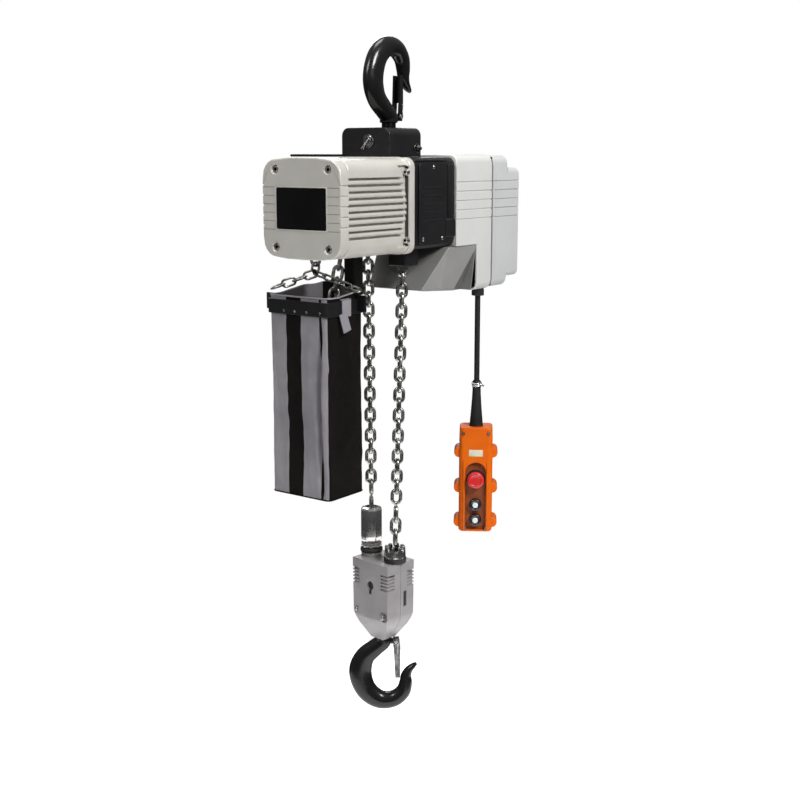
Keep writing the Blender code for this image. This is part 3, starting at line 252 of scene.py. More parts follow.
def fabric(name, dark, light, rough=0.88, thread=0.0011, sheen=0.15):
    """Woven cloth: crossing threads along the wall and along its height, and faded patches."""
    material, tree, shader = start_material(name, rough=rough, sheen=sheen, shine=0.12)
    shader.inputs["Sheen Roughness"].default_value = 0.45
    patches = object_noise(tree, 11.0, 6.0, 0.62)
    tree.links.new(mix_colour(tree, remap(tree, patches, 0, 1), dark, light),
                   shader.inputs["Base Color"])
    coordinates = tree.nodes.new("ShaderNodeTexCoord")
    parts = tree.nodes.new("ShaderNodeSeparateXYZ")
    tree.links.new(coordinates.outputs["Object"], parts.inputs[0])
    along = add_node(tree, "ShaderNodeMath", operation="ADD")
    tree.links.new(parts.outputs["X"], along.inputs[0])
    tree.links.new(parts.outputs["Y"], along.inputs[1])
    waves = []
    for source in (along.outputs[0], parts.outputs["Z"]):
        turns = add_node(tree, "ShaderNodeMath", operation="MULTIPLY")
        turns.inputs[1].default_value = 2 * math.pi / thread
        tree.links.new(source, turns.inputs[0])
        wave = add_node(tree, "ShaderNodeMath", operation="SINE")
        tree.links.new(turns.outputs[0], wave.inputs[0])
        waves.append(wave.outputs[0])
    weave = add_node(tree, "ShaderNodeMath", operation="MULTIPLY")
    tree.links.new(waves[0], weave.inputs[0])
    tree.links.new(waves[1], weave.inputs[1])
    add_bump(tree, shader, [object_noise(tree, 60.0, 5.0), weave.outputs[0]], 0.00022, 0.8)
    return material


def chain_metal(name, dark, light, rough):
    """Plated steel with dull, darker patches on every link."""
    material, tree, shader = start_material(name, metal=1.0)
    patches = object_noise(tree, 75.0, 5.0)
    tree.links.new(mix_colour(tree, remap(tree, patches, 0, 1, 0.38, 0.62), dark, light),
                   shader.inputs["Base Color"])
    tree.links.new(remap(tree, object_noise(tree, 210.0), *rough), shader.inputs["Roughness"])
    add_bump(tree, shader, [object_noise(tree, 500.0, 3.0)], 0.0001, 0.6)
    return material


ENAMEL = {"depth": 0.00005, "orange_peel": 260.0}
PAINTS = {
    "silver_enamel": ((0.47, 0.455, 0.415), (0.53, 0.515, 0.475), (0.30, 0.42),
                      {**ENAMEL, "coat": 0.2, "orange_peel": 240.0, "metal": 0.15}),
    "light_grey_enamel": ((0.52, 0.52, 0.505), (0.56, 0.56, 0.545), (0.36, 0.48),
                          {**ENAMEL, "coat": 0.15}),
    "black_enamel": ((0.006, 0.006, 0.007), (0.010, 0.010, 0.011), (0.30, 0.44),
                     {**ENAMEL, "shine": 0.35, "orange_peel": 300.0}),
    "gloss_black_plate": ((0.003, 0.003, 0.003), (0.005, 0.005, 0.005), (0.16, 0.26),
                          {"depth": 0.00001, "shine": 0.15}),
    "laminated_iron": ((0.16, 0.155, 0.15), (0.26, 0.25, 0.24), (0.45, 0.6),
                       {"metal": 0.9, "grain": 700.0, "depth": 0.0001}),
    "grey_plastic": ((0.17, 0.18, 0.19), (0.21, 0.22, 0.23), (0.42, 0.52), {}),
    "forged_black": ((0.006, 0.0055, 0.0055), (0.0075, 0.0065, 0.0065), (0.15, 0.27),
                     {**ENAMEL, "shine": 0.38, "orange_peel": 110.0, "grain": 700.0}),
    "cast_aluminium": ((0.26, 0.245, 0.25), (0.34, 0.325, 0.33), (0.40, 0.55),
                       {"metal": 0.3, "grain": 520.0, "depth": 0.00022, "orange_peel": 170.0}),
    "buffer_rubber": ((0.010, 0.010, 0.010), (0.022, 0.021, 0.020), (0.6, 0.75),
                      {"depth": 0.00008}),
    "black_rubber": ((0.008, 0.008, 0.008), (0.017, 0.017, 0.017), (0.5, 0.64),
                     {"depth": 0.00008, "shine": 0.3}),
    "orange_plastic": ((0.62, 0.098, 0.001), (0.71, 0.130, 0.002), (0.34, 0.46),
                       {"grain": 1100.0, "depth": 0.00006, "shine": 0.25}),
    "panel_plastic": ((0.21, 0.045, 0.008), (0.28, 0.065, 0.012), (0.42, 0.55), {"grain": 900.0}),
    "button_black": ((0.010, 0.009, 0.014), (0.018, 0.016, 0.024), (0.2, 0.32),
                     {"coat": 0.3, "depth": 0.00002}),
    "stop_red": ((0.50, 0.012, 0.014), (0.62, 0.022, 0.024), (0.26, 0.38),
                 {"coat": 0.3, "depth": 0.00003}),
}
LOOKS = {name: finish_surface(name, dark, light, rough, **rest)
         for name, (dark, light, rough, rest) in PAINTS.items()}
LOOKS["zinc_steel"] = chain_metal("bright_zinc", (0.44, 0.44, 0.43), (0.74, 0.74, 0.72), (0.16, 0.34))
LOOKS["latch_steel"] = chain_metal("latch_steel", (0.09, 0.09, 0.09), (0.26, 0.26, 0.26), (0.24, 0.4))
LOOKS["chain_steel"] = chain_metal("chain_steel", (0.20, 0.20, 0.19), (0.62, 0.61, 0.58), (0.2, 0.4))
LOOKS["bag_fabric"] = fabric("bag_grey_cloth", (0.215, 0.203, 0.222), (0.300, 0.284, 0.306))
# Black cloth, also used as painted shade in the bag's folds.
BLACK_CLOTH_AND_FOLD_SHADE = fabric("bag_black_cloth", (0.0022, 0.0017, 0.0014), (0.0052, 0.0042, 0.0036), 0.8, sheen=0.0)
CHROME = finish_surface("chrome", (0.55, 0.55, 0.545), (0.68, 0.68, 0.67), (0.13, 0.22),
                        metal=1.0, depth=0.00001)
REAR_GREY = finish_surface("rear_cover_grey", (0.45, 0.458, 0.455), (0.49, 0.498, 0.495), (0.38, 0.5),
                           coat=0.1, **ENAMEL)
WHITE_CAP = finish_surface("white_cap", (0.72, 0.72, 0.70), (0.80, 0.80, 0.78), (0.3, 0.4),
                           coat=0.2, depth=0.00002)
LABEL = finish_surface("pale_label", (0.60, 0.57, 0.42), (0.70, 0.67, 0.52), (0.3, 0.42),
                       patch=160.0, depth=0.00002)
# Painted shadow of the motor cover's fine grooves, on thin raised strips.
LINE_PAINTED_SHADOW = finish_surface("line_shadow", (0.17, 0.165, 0.15), (0.22, 0.215, 0.20), (0.5, 0.6))
# The lower housing's darker grey is painted shade: the shade under the body, painted into its colour.
LOWER_PAINTED_SHADE = finish_surface("lower_housing_painted_shade", (0.20, 0.198, 0.19), (0.245, 0.243, 0.235),
                            (0.38, 0.5), **ENAMEL)
# Painted shade for the lower housing's side recesses, on thin panels laid over their faces.
RECESS_PAINTED_SHADE = finish_surface("recess_panel_painted_shade", (0.085, 0.084, 0.08), (0.115, 0.113, 0.108),
                             (0.5, 0.6))
# Painted shade for the bottoms of the block's hollows.
HOLLOW_PAINTED_SHADE = finish_surface("block_hollow_painted_shade", (0.012, 0.012, 0.012), (0.02, 0.02, 0.02), (0.6, 0.7))


# ---------------- mesh tools

def place_piece(name, mesh, slot, body, replaces=(), material=None):
    made = add_object(name, mesh)
    if not mesh.materials:
        mesh.materials.append(material or LOOKS[slot])
    if body:
        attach(made, body)
    if replaces:
        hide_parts(*replaces)
    return made


def piece(name, shape, slot, body, replaces=(), material=None, angle=38.0):
    """Turns a bmesh into a smooth-shaded piece that rides on a body."""
    bmesh.ops.recalc_face_normals(shape, faces=shape.faces)
    mesh = bpy.data.meshes.new(name)
    shape.to_mesh(mesh)
    shape.free()
    mesh.shade_smooth()
    mesh.set_sharp_from_angle(angle=math.radians(angle))
    return place_piece(name, mesh, slot, body, replaces, material)


def skin(shape, rings, closed=False, caps=True):
    """Quads between rings of points."""
    levels = [[shape.verts.new(point) for point in ring] for ring in rings]
    count = len(levels[0])
    pairs = list(zip(levels, levels[1:]))
    if closed:
        pairs.append((levels[-1], levels[0]))
    for low, high in pairs:
        for i in range(count):
            j = (i + 1) % count
            shape.faces.new((low[i], low[j], high[j], high[i]))
    if caps and not closed:
        shape.faces.new(levels[0])
        shape.faces.new(levels[-1])


def turned(shape, profile, place, count, at, closed=False):
    """Rings about place's Z axis. Each row and angle gives a radius and a height through at."""
    rings = []
    for row in profile:
        ring = []
        for i in range(count):
            angle = 2 * math.pi * i / count
            radius, height = at(*row, i, angle)
            ring.append(place @ Vector((radius * math.cos(angle), radius * math.sin(angle), height)))
        rings.append(ring)
    skin(shape, rings, closed)


def lathe(shape, profile, place, count=40, closed=False):
    """Turns (radius, height) rows about place's Z axis."""
    turned(shape, profile, place, count, lambda radius, height, i, angle: (radius, height), closed)


def rounded(profile, reach=0.0006):
    """The profile of a lathe with each inner corner cut back twice, which rounds its edges."""
    rows = [profile[0]]
    for before, here, after in zip(profile, profile[1:], profile[2:]):
        here = Vector(here)
        for other in (before, after):
            step = Vector(other) - here
            if step.length:
                rows.append(tuple(here + step.normalized() * min(reach, step.length * 0.4)))
    rows.append(profile[-1])
    return rows


def disc(shape, place, radius, low, high, reach=0.0006, count=40):
    """A round plate or pin between two heights, with rounded edges."""
    lathe(shape, rounded([(0.0, low), (radius, low), (radius, high), (0.0, high)], reach), place, count)


def ring_points(centre, across, up, radius, count):
    """Points of a circle about centre, in the plane of two directions."""
    angles = (2 * math.pi * i / count for i in range(count))
    return [centre + across * (radius * math.cos(a)) + up * (radius * math.sin(a)) for a in angles]


def tube(shape, points, radius, sides=10, closed=False):
    """A round wire along points, which may close on themselves."""
    count = len(points)
    points = [Vector(point) for point in points]
    runs = []
    for i in range(count):
        ahead = points[(i + 1) % count] if closed or i + 1 < count else points[i]
        behind = points[i - 1] if closed or i else points[i]
        runs.append((ahead - behind).normalized())
    start = Vector((0, 0, 1)) if abs(runs[0].z) < 0.9 else Vector((1, 0, 0))
    side = (start - runs[0] * start.dot(runs[0])).normalized()
    rings = []
    for point, run in zip(points, runs):
        side = (side - run * side.dot(run)).normalized()
        other = run.cross(side)
        rings.append([point + side * (radius * math.cos(2 * math.pi * k / sides))
                      + other * (radius * math.sin(2 * math.pi * k / sides))
                      for k in range(sides)])
    skin(shape, rings, closed)


def slab(shape, place, size, bevel=0.0008, segments=2):
    """A box of the given size about place's origin, with rounded edges."""
    made = bmesh.ops.create_cube(shape, size=1.0, matrix=place @ Matrix.Diagonal((*size, 1)))
    edges = list({edge for vert in made["verts"] for edge in vert.link_edges})
    bmesh.ops.bevel(shape, geom=edges, offset=bevel, segments=segments, affect="EDGES",
                    profile=0.5)


def clamp(value):
    return min(1.0, max(0.0, value))


def smooth_rows(rows, steps):
    """Rows of numbers, with points added between them on a Catmull-Rom curve."""
    result = []
    for i in range(len(rows) - 1):
        before = rows[max(i - 1, 0)]
        after = rows[min(i + 2, len(rows) - 1)]
        for step in range(steps):
            t = step / steps
            result.append(tuple(
                0.5 * (2 * b + (c - a) * t + (2 * a - 5 * b + 4 * c - d) * t * t
                       + (3 * b - a - 3 * c + d) * t ** 3)
                for a, b, c, d in zip(before, rows[i], rows[i + 1], after)
            ))
    result.append(tuple(rows[-1]))
    return result


def cut_mesh(mesh, cutters):
    """The mesh with each cutter's shape taken away."""
    work = add_object("work", mesh)
    others = []
    for shape in cutters:
        bmesh.ops.recalc_face_normals(shape, faces=shape.faces)
        other_mesh = bpy.data.meshes.new("cutter")
        shape.to_mesh(other_mesh)
        shape.free()
        other = add_object("cutter", other_mesh)
        others.append(other)
        step = work.modifiers.new("cut", "BOOLEAN")
        step.operation = "DIFFERENCE"
        step.solver = "EXACT"
        step.object = other
    ready = bpy.data.meshes.new_from_object(
        work.evaluated_get(bpy.context.evaluated_depsgraph_get()))
    for used in [work] + others:
        bpy.data.objects.remove(used)
    return ready


def edge_room(edge):
    """How far the edges that cross this one let it be rounded."""
    run = (edge.verts[1].co - edge.verts[0].co).normalized()
    room = 1.0
    for vert in edge.verts:
        for other in vert.link_edges:
            if other is edge:
                continue
            step = other.other_vert(vert).co - vert.co
            length = step.length
            if length and abs(step.normalized().dot(run)) < 0.77:
                room = min(room, 0.42 * length)
    return room


def lathed_piece(name, profile, reach, place, count, slot, body, replaces=(), material=None,
                 closed=False):
    """One profile with rounded edges, turned about place's Z axis, as a piece of its own."""
    shape = bmesh.new()
    lathe(shape, rounded(profile, reach), place, count, closed)
    return piece(name, shape, slot, body, replaces, material)


def refine(node, width, segments=2, cutters=(), material=None, angle=28.0, merge=True):
    """A CAD part again with rounded edges, as its own piece."""
    mesh = frame["nodes"][node].data.copy()
    mesh.materials.clear()
    shape = bmesh.new()
    shape.from_mesh(mesh)
    bmesh.ops.remove_doubles(shape, verts=shape.verts, dist=0.000002)
    bmesh.ops.recalc_face_normals(shape, faces=shape.faces)
    shape.to_mesh(mesh)
    shape.free()
    if cutters:
        mesh = cut_mesh(mesh, cutters)
        mesh.materials.clear()
    shape = bmesh.new()
    shape.from_mesh(mesh)
    if merge:
        bmesh.ops.dissolve_limit(shape, angle_limit=math.radians(0.8), verts=shape.verts,
                                 edges=shape.edges, delimit={"NORMAL"})
    weight = shape.edges.layers.float.new("bevel_weight_edge")
    for edge in shape.edges:
        edge.smooth = True
        if len(edge.link_faces) == 2 and edge.calc_face_angle(0.0) > math.radians(angle):
            edge[weight] = min(1.0, edge_room(edge) / width)
            edge.smooth = edge[weight] > 0.05
    for face in shape.faces:
        face.smooth = True
    shape.to_mesh(mesh)
    shape.free()
    made = place_piece(node + "_finished", mesh, SLOT_OF[node], BODY_OF[node], (node,), material)
    step = made.modifiers.new("round", "BEVEL")
    step.width = width
    step.segments = segments
    step.limit_method = "WEIGHT"
    step.use_clamp_overlap = False
    step.harden_normals = True
    flat = made.modifiers.new("flat", "WEIGHTED_NORMAL")
    flat.keep_sharp = True
    return made


# ---------------- hooks

# centre line u, v below the neck, depth in the hook's plane, thickness across it
HOOK_STATIONS = [
    (0.000, -0.0005, 0.034, 0.034),
    (-0.001, -0.012, 0.035, 0.034),
    (-0.016, -0.025, 0.038, 0.032),
    (-0.036, -0.043, 0.043, 0.030),
    (-0.047, -0.066, 0.047, 0.030),
    (-0.047, -0.090, 0.047, 0.031),
    (-0.037, -0.116, 0.044, 0.032),
    (-0.020, -0.133, 0.041, 0.033),
    (0.000, -0.1405, 0.037, 0.033),
    (0.024, -0.136, 0.034, 0.032),
    (0.041, -0.120, 0.031, 0.029),
    (0.046, -0.101, 0.027, 0.026),
    (0.047, -0.086, 0.022, 0.023),
    (0.053, -0.073, 0.016, 0.019),
    (0.062, -0.064, 0.011, 0.014),
    (0.068, -0.059, 0.006, 0.008),
]
LATCH_PIVOT = Vector((0.026, 0, -0.010))
SHANK_R = 0.0135


def hook_piece(node, place, shank_length):
    """A forged hook: oval sections, a little flatter where the latch swings in, and its lug."""
    shape = bmesh.new()
    sides = 28
    stations = smooth_rows(HOOK_STATIONS, 6)
    last = len(stations) - 1
    rings = []
    for i, (u, v, depth, thickness) in enumerate(stations):
        ahead = stations[min(i + 1, last)]
        behind = stations[max(i - 1, 0)]
        run = Vector((ahead[0] - behind[0], 0, ahead[1] - behind[1])).normalized()
        if i == 0:
            run = Vector((0, 0, -1))
        across = Vector((-run.z, 0, run.x))
        ring = []
        room = 0.10 * clamp((v + 0.060) / 0.018)
        for k in range(sides):
            angle = 2 * math.pi * k / sides
            c, s = math.cos(angle), math.sin(angle)
            flank = math.copysign(abs(s) ** 0.9, s)
            point = Vector((u, 0, v)) + across * (depth / 2 * c * (1 - room * max(0.0, c)))
            point.y = thickness / 2 * flank
            ring.append(place @ point)
        rings.append(ring)
    skin(shape, rings)
    lathe(shape, rounded([(0.0, -0.004), (0.0168, -0.004), (0.0168, 0.0006), (SHANK_R, 0.0012),
                          (SHANK_R, shank_length), (0.0, shank_length)]), place)
    for side in (-1, 1):
        lug = place @ moved(LATCH_PIVOT) @ facing_front
        disc(shape, lug, 0.0073, 0.0, side * 0.0048, count=24)
    slab(shape, place @ moved((0.0148, 0, -0.0095)), (0.0180, 0.0090, 0.0105), 0.0015)
    return piece(node + "_forged", shape, "forged_black", BODY_OF[node], (node,), angle=60.0)


def latch_spring(name, place, body):
    """Coils of wire on the latch's pin, with a leg down the latch."""
    shape = bmesh.new()
    pivot = place @ moved(LATCH_PIVOT)
    for side in (-1, 1):
        points = []
        for i in range(49):
            angle = 2 * math.pi * i / 16
            points.append(pivot @ Vector((0.0042 * math.cos(angle), side * (0.0096 + 0.0006 * i / 16),
                                          0.0042 * math.sin(angle))))
        points.append(pivot @ Vector((0.0040, side * 0.0106, -0.010)))
        points.append(pivot @ Vector((0.0036, side * 0.0096, -0.026)))
        tube(shape, points, 0.0006, 8)
    return piece(name, shape, "zinc_steel", body)


def make_hooks():
    hook_piece("top_hook", top_hook_place, 0.043)
    hook_piece("bottom_hook", bottom_hook_place, 0.050)
    refine("top_hook_latch", 0.0009, 3, material=LOOKS["forged_black"])
    refine("bottom_hook_latch", 0.0009, 3)
    for node in ("top_latch_pin", "bottom_latch_pin"):
        refine(node, 0.0006)
    latch_spring("top_latch_spring", top_hook_place, "top_latch")
    latch_spring("bottom_latch_spring", bottom_hook_place, "bottom_latch")


# ---------------- chains

def add_link(shape, centre, run, side, pitch, wire, width):
    """One welded link: round wire round two half circles and two straights."""
    half_width = (width - wire) / 2
    straight = pitch / 2 + wire / 2 - half_width
    points = []
    for end in (1, -1):
        for i in range(9):
            angle = math.pi * i / 8 + (0 if end == 1 else math.pi)
            points.append(centre + side * (half_width * math.cos(angle))
                          + run * (end * straight + half_width * math.sin(angle)))
    tube(shape, points, wire / 2, 10, closed=True)


def add_chain(shape, start, end, seat=CHAIN_SEAT, pitch=CHAIN_PITCH, wire=CHAIN_WIRE,
              width=CHAIN_WIDTH, turn=45.0):
    """Links from start to end, each turned a quarter from the last."""
    run = (end - start).normalized()
    length = (end - start).length - 2 * seat
    count = max(1, round(length / pitch))
    pitch = length / count
    reference = Vector((1, 0, 0)) if abs(run.x) < 0.8 else Vector((0, 1, 0))
    side = (reference - run * reference.dot(run)).normalized()
    side.rotate(Matrix.Rotation(math.radians(turn), 3, run))
    other = run.cross(side)
    for i in range(count):
        centre = start + run * (seat + pitch * (i + 0.5))
        add_link(shape, centre, run, (side, other)[i % 2], pitch, wire, width)


def make_chains():
    left_top = Vector((-0.052, 0, FALL_TOP_Z))
    right_top = Vector((WHEEL_R, 0, FALL_TOP_Z))
    left_end = block_place @ Vector((-WHEEL_R, 0, 0.1085 + CHAIN_PITCH / 2 + CHAIN_WIRE))
    right_end = block_place @ Vector((WHEEL_R, 0, 0.031))
    split = right_top.lerp(right_end, (FALL_TOP_Z - FALL_SPLIT_Z) / (FALL_TOP_Z - right_end.z))
    for node, start, end in (("left_fall_upper", left_top, left_end),
                             ("right_fall_upper", right_top, split)):
        shape = bmesh.new()
        add_chain(shape, start, end)
        fall = piece(node + "_links", shape, "chain_steel", "hoist", (node,), angle=60.0)
        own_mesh(fall)
    shape = bmesh.new()
    add_chain(shape, split, right_end)
    piece("right_fall_lower_links", shape, "chain_steel", "block", ("right_fall_lower",), angle=60.0)

    top, bottom = Vector((-0.058, -0.075, -0.3675)), Vector((-0.062, -0.118, -0.530))
    shape = bmesh.new()
    add_chain(shape, top, bottom)
    slack = piece("slack_chain_links", shape, "chain_steel", None, ("slack_chain",), angle=60.0)
    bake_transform(slack)


# ---------------- suspension

def make_suspension():
    refine("suspension_bracket", 0.0022, 3)
    refine("torque_arm", 0.0008)
    for node in ("suspension_pin_front", "suspension_pin_rear"):
        refine(node, 0.0009, 3, material=LOOKS["latch_steel"])
    refine("top_hook_nut", 0.0008)

    pin = Vector((-0.009, 0, -0.157))
    shape = bmesh.new()
    for turn, reach in ((0.0, 0.021), (0.22, 0.019)):
        direction = Vector((-math.cos(0.75 + turn), 0, -math.sin(0.75 + turn)))
        start = pin + Vector((0, -0.0556, 0))
        points = [start - direction * 0.008 + direction * (reach + 0.008) * i / 8
                  + Vector((0, -0.0016 * math.sin(i * 0.5), 0)) for i in range(9)]
        tube(shape, points, 0.0009, 8)
    eye = ring_points(pin + Vector((0.0066, -0.0562, 0.0062)), ALONG_X, UP, 0.0030, 16)
    tube(shape, eye, 0.0009, 8, closed=True)
    piece("cotter_pin", shape, "zinc_steel", "hoist")

    shape = bmesh.new()
    bolt = moved((0.040, 0.036, -0.1705)) @ facing_right
    disc(shape, bolt, 0.0095, 0.0002, 0.0016, 0.0003, 32)
    lathe(shape, rounded([(0.0, 0.0016), (0.0062, 0.0016), (0.0062, 0.0060), (0.0034, 0.0064),
                          (0.0034, 0.0105), (0.0, 0.0105)], 0.0005), bolt, 6)
    piece("bracket_bolt", shape, "zinc_steel", "hoist", material=LOOKS["latch_steel"])


# ---------------- motor

def socket_screw(shape, place, radius, height):
    """A cap screw's head with its hexagon socket, pointing along place's Z."""
    lathe(shape, rounded([(0.0, 0.0), (radius, 0.0), (radius, height), (radius * 0.6, height)],
                         radius * 0.14), place, 32)
    lathe(shape, [(radius * 0.62, height), (radius * 0.55, height), (radius * 0.5, height * 0.5),
                  (0.0, height * 0.5)], place, 6)


def make_motor():
    refine("motor_front_cover", 0.0034, 4)
    refine("motor_housing", 0.0034, 4)
    refine("nameplate", 0.0003)
    middle = Vector((0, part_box("motor_front_cover")[0][1], AXIS_Z))
    shape = bmesh.new()
    half_x, half_z, rim = 0.0590, 0.0380, 0.0011
    for side in (-1, 1):
        slab(shape, moved(middle + Vector((side * half_x, 0, 0))),
             (2 * rim, 0.0016, 2 * half_z + 2 * rim), 0.0005)
        slab(shape, moved(middle + Vector((0, 0, side * half_z))),
             (2 * half_x, 0.0016, 2 * rim), 0.0005)
    piece("plate_rim", shape, "silver_enamel", "hoist")
    # Thin dark strips on the cover: painted shadow in place of its grooves.
    shape = bmesh.new()
    for side in (-1, 1):
        for i in range(6):
            slab(shape, moved(middle + Vector((side * 0.0745, 0, 0.0375 - 0.015 * i))),
                 (0.0270, 0.0005, 0.0011), 0.0001, 1)
    piece("cover_groove_shadow_strips", shape, "silver_enamel", "hoist", material=LINE_PAINTED_SHADOW)
    for i in range(4):
        node = f"cover_screw_{i + 1}"
        low, high = (Vector(corner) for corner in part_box(node))
        centre = (low + high) / 2
        centre.y = low.y + 0.0055
        shape = bmesh.new()
        socket_screw(shape, moved(centre) @ facing_front, 0.0052, 0.0055)
        disc(shape, moved(centre) @ facing_front, 0.0028, -0.020, 0.001, count=16)
        piece(node + "_head", shape, "zinc_steel", "hoist", (node,))
    shape = bmesh.new()
    for x in (-0.0845, 0.0845):
        for z in (-0.0625, 0.0625):
            place = moved((x, -0.0560, AXIS_Z + z)) @ facing_front
            disc(shape, place, 0.0068, 0.0, 0.0012, 0.0003, 32)
            socket_screw(shape, place, 0.0050, 0.0068)
    piece("flange_screws", shape, "zinc_steel", "hoist", material=CHROME)


# ---------------- black lifting body

def make_lifting_body():
    refine("lifting_body", 0.0010, 2, merge=False)
    refine("side_panel_right", 0.0009)
    refine("side_panel_left", 0.0009)
    refine("chain_guide", 0.0020, 3)
    refine("chain_chute", 0.0010)
    shape = bmesh.new()
    for side in (-1, 1):
        face = side * 0.0893
        for y, z in ((0.022, -0.2045), (-0.012, -0.3395), (0.052, -0.3395)):
            place = moved((face, y, z)) @ rotation(side * 90, "Y")
            socket_screw(shape, place, 0.0034, 0.0022)
    piece("panel_screws", shape, "zinc_steel", "hoist")
    shape = bmesh.new()
    for side in (-1, 1):
        slab(shape, moved((side * 0.0866, 0.0840, -0.2500)),
             (0.0030, 0.0190, 0.1000), 0.0013, 3)
        slab(shape, moved((side * 0.0864, 0.0200, -0.1930)),
             (0.0020, 0.1020, 0.0030), 0.0008)
    piece("body_edge_ribs", shape, "black_enamel", "hoist")


# ---------------- control end

def lower_recesses():
    """The three-sided hollows behind the slanted bands of the lower housing."""
    cutters = []
    for side in (-1, 1):
        shape = bmesh.new()
        corners = [(0.120, 0.1700, -0.3700), (0.120, 0.1700, -0.4600), (0.120, 0.0950, -0.4600),
                   (0.0865, 0.1700, -0.3700), (0.0500, 0.1700, -0.4600), (0.0740, 0.0950, -0.4600)]
        made = [shape.verts.new((side * x, y, z)) for x, y, z in corners]
        bmesh.ops.convex_hull(shape, input=made)
        cutters.append(shape)
    return cutters


def make_control_end():
    refine("control_housing", 0.0030, 3)
    # the lower housing takes the darker grey of painted shade
    refine("lower_housing", 0.0016, 3, lower_recesses(), LOWER_PAINTED_SHADE, 8.0)
    # Thin dark panels on the recess faces: painted shade in the hollows.
    shape = bmesh.new()
    for side in (-1, 1):
        corners = [(0.0849, 0.1690, -0.3760), (0.0548, 0.1690, -0.4495), (0.0772, 0.1060, -0.4425)]
        made = [shape.verts.new((side * (x + shift), y, z))
                for shift in (0.0002, 0.0010) for x, y, z in corners]
        bmesh.ops.convex_hull(shape, input=made)
    piece("lower_recess_shade_panels", shape, "light_grey_enamel", "hoist", material=RECESS_PAINTED_SHADE)
    refine("rear_cover", 0.0018, 3, material=REAR_GREY)
    shape = bmesh.new()
    low, high = (Vector(corner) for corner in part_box("control_housing"))
    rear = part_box("rear_cover")[0][1]
    depth = rear - high.y
    size = (high.x - low.x - 0.008, depth + 0.004, high.z - low.z - 0.010)
    centre = Vector(((low.x + high.x) / 2, high.y + depth / 2, (low.z + high.z) / 2))
    slab(shape, moved(centre), size, 0.0018)
    piece("cover_gasket", shape, "black_rubber", "hoist")


# ---------------- hook block

def block_face(side, reach):
    """The place of the block's front (-1) or rear (1) face, with Z pointing out of it."""
    return block_place @ moved((0, side * reach, 0)) @ rotation(side * -90, "X")


def rib_cutters(side):
    """Widens the gaps between the ribs that wrap the block's corners."""
    faces, flanks = bmesh.new(), bmesh.new()
    for side_x in (-1, 1):
        for i in range(5):
            z = -0.022 - 0.0072 * i
            slab(faces, block_place @ moved((side_x * 0.0420, side * 0.0390, z)),
                 (0.0220, 0.0076, 0.0040), 0.0005, 1)
            slab(flanks, block_place @ moved((side_x * 0.0520, side * 0.0285, z)),
                 (0.0076, 0.0210, 0.0040), 0.0005, 1)
    return [faces, flanks]


def block_cutters(side):
    """Cut-outs of one shell: the keyhole and the bolt's round recess in its face, the side slot."""
    cutters = []
    face = block_face(side, 0.038)
    shape = bmesh.new()
    lathe(shape, [(0.0090, -0.006), (0.0090, 0.01)], face @ moved((0, side * 0.050, 0)), 24)
    cutters.append(shape)
    shape = bmesh.new()
    slab(shape, face @ moved((0, side * 0.061, 0.002)), (0.0086, 0.016, 0.016), 0.001)
    cutters.append(shape)
    cutters += rib_cutters(side)
    shape = bmesh.new()
    if side == -1:
        lathe(shape, [(0.0105, -0.0035), (0.0105, 0.01)],
              face @ moved((0.0375, -0.108, 0)), 32)
    else:
        slab(shape, block_place @ moved((0.0510, 0.0130, -0.0780)),
             (0.0070, 0.0090, 0.0330), 0.0010)
    return cutters + [shape]


def make_block():
    refine("block_shell_front", 0.0011, 2, block_cutters(-1))
    refine("block_shell_rear", 0.0011, 2, block_cutters(1))
    # Near-black discs and slabs at the bottoms of the block's recesses and side slot: painted shade in the
    # hollows.
    shape = bmesh.new()
    for side in (-1, 1):
        face = block_face(side, 0.0325)
        lathe(shape, [(0.0, 0.0), (0.0087, 0.0), (0.0087, 0.0006), (0.0, 0.0006)],
              face @ moved((0, side * 0.050, 0)), 24)
        slab(shape, face @ moved((0, side * 0.061, 0.0004)), (0.0082, 0.0150, 0.0006),
             0.0001, 1)
    slab(shape, block_place @ moved((0.0476, 0.0130, -0.0780)),
         (0.0006, 0.0085, 0.0320), 0.0001, 1)
    piece("block_hollow_shade_fills", shape, "buffer_rubber", "block", material=HOLLOW_PAINTED_SHADE)
    for node in ("block_bolt_left", "block_bolt_right"):
        refine(node, 0.0007)
    refine("bottom_hook_nut", 0.0008)

    left = block_place @ moved((-WHEEL_R, 0, 0))
    right = block_place @ moved((WHEEL_R, 0, 0))
    lathed_piece("right_buffer_ring", [(0.0215, 0.0003), (0.0228, 0.0003), (0.0228, 0.0106),
                                       (0.0140, 0.0112), (0.0140, 0.0003)],
                 0.0010, right, 48, "buffer_rubber", "block", ("right_buffer",), closed=True)
    lathed_piece("left_boss", [(0.0206, 0.0003), (0.0214, 0.0075), (0.0140, 0.0080), (0.0140, 0.0003)],
                 0.0006, left, 48, "cast_aluminium", "block", closed=True)
    lathed_piece("left_buffer_ring", [(0.0150, 0.0080), (0.0226, 0.0084), (0.0232, 0.0125),
                                      (0.0222, 0.0168), (0.0150, 0.0170)],
                 0.0010, left, 48, "buffer_rubber", "block", ("left_buffer",), closed=True)

    shape = bmesh.new()
    castellated(shape, right, 0.0112, 0.0335)
    piece("right_collar", shape, "zinc_steel", "block", material=CHROME)
    shape = bmesh.new()
    wavy_ring(shape, left, 0.0172, 0.0300)
    piece("left_wave_ring", shape, "zinc_steel", "block", material=CHROME)
    shape = bmesh.new()
    fluted_sleeve(shape, left)
    start = left @ Vector((0, 0, 0.1085))
    add_link(shape, start, Vector((0, 0, 1)), Vector((1, -1, 0)).normalized(),
             CHAIN_PITCH, CHAIN_WIRE, CHAIN_WIDTH)
    piece("limit_stop_sleeve", shape, "zinc_steel", "block", ("limit_stop",), material=CHROME,
          angle=12.0)


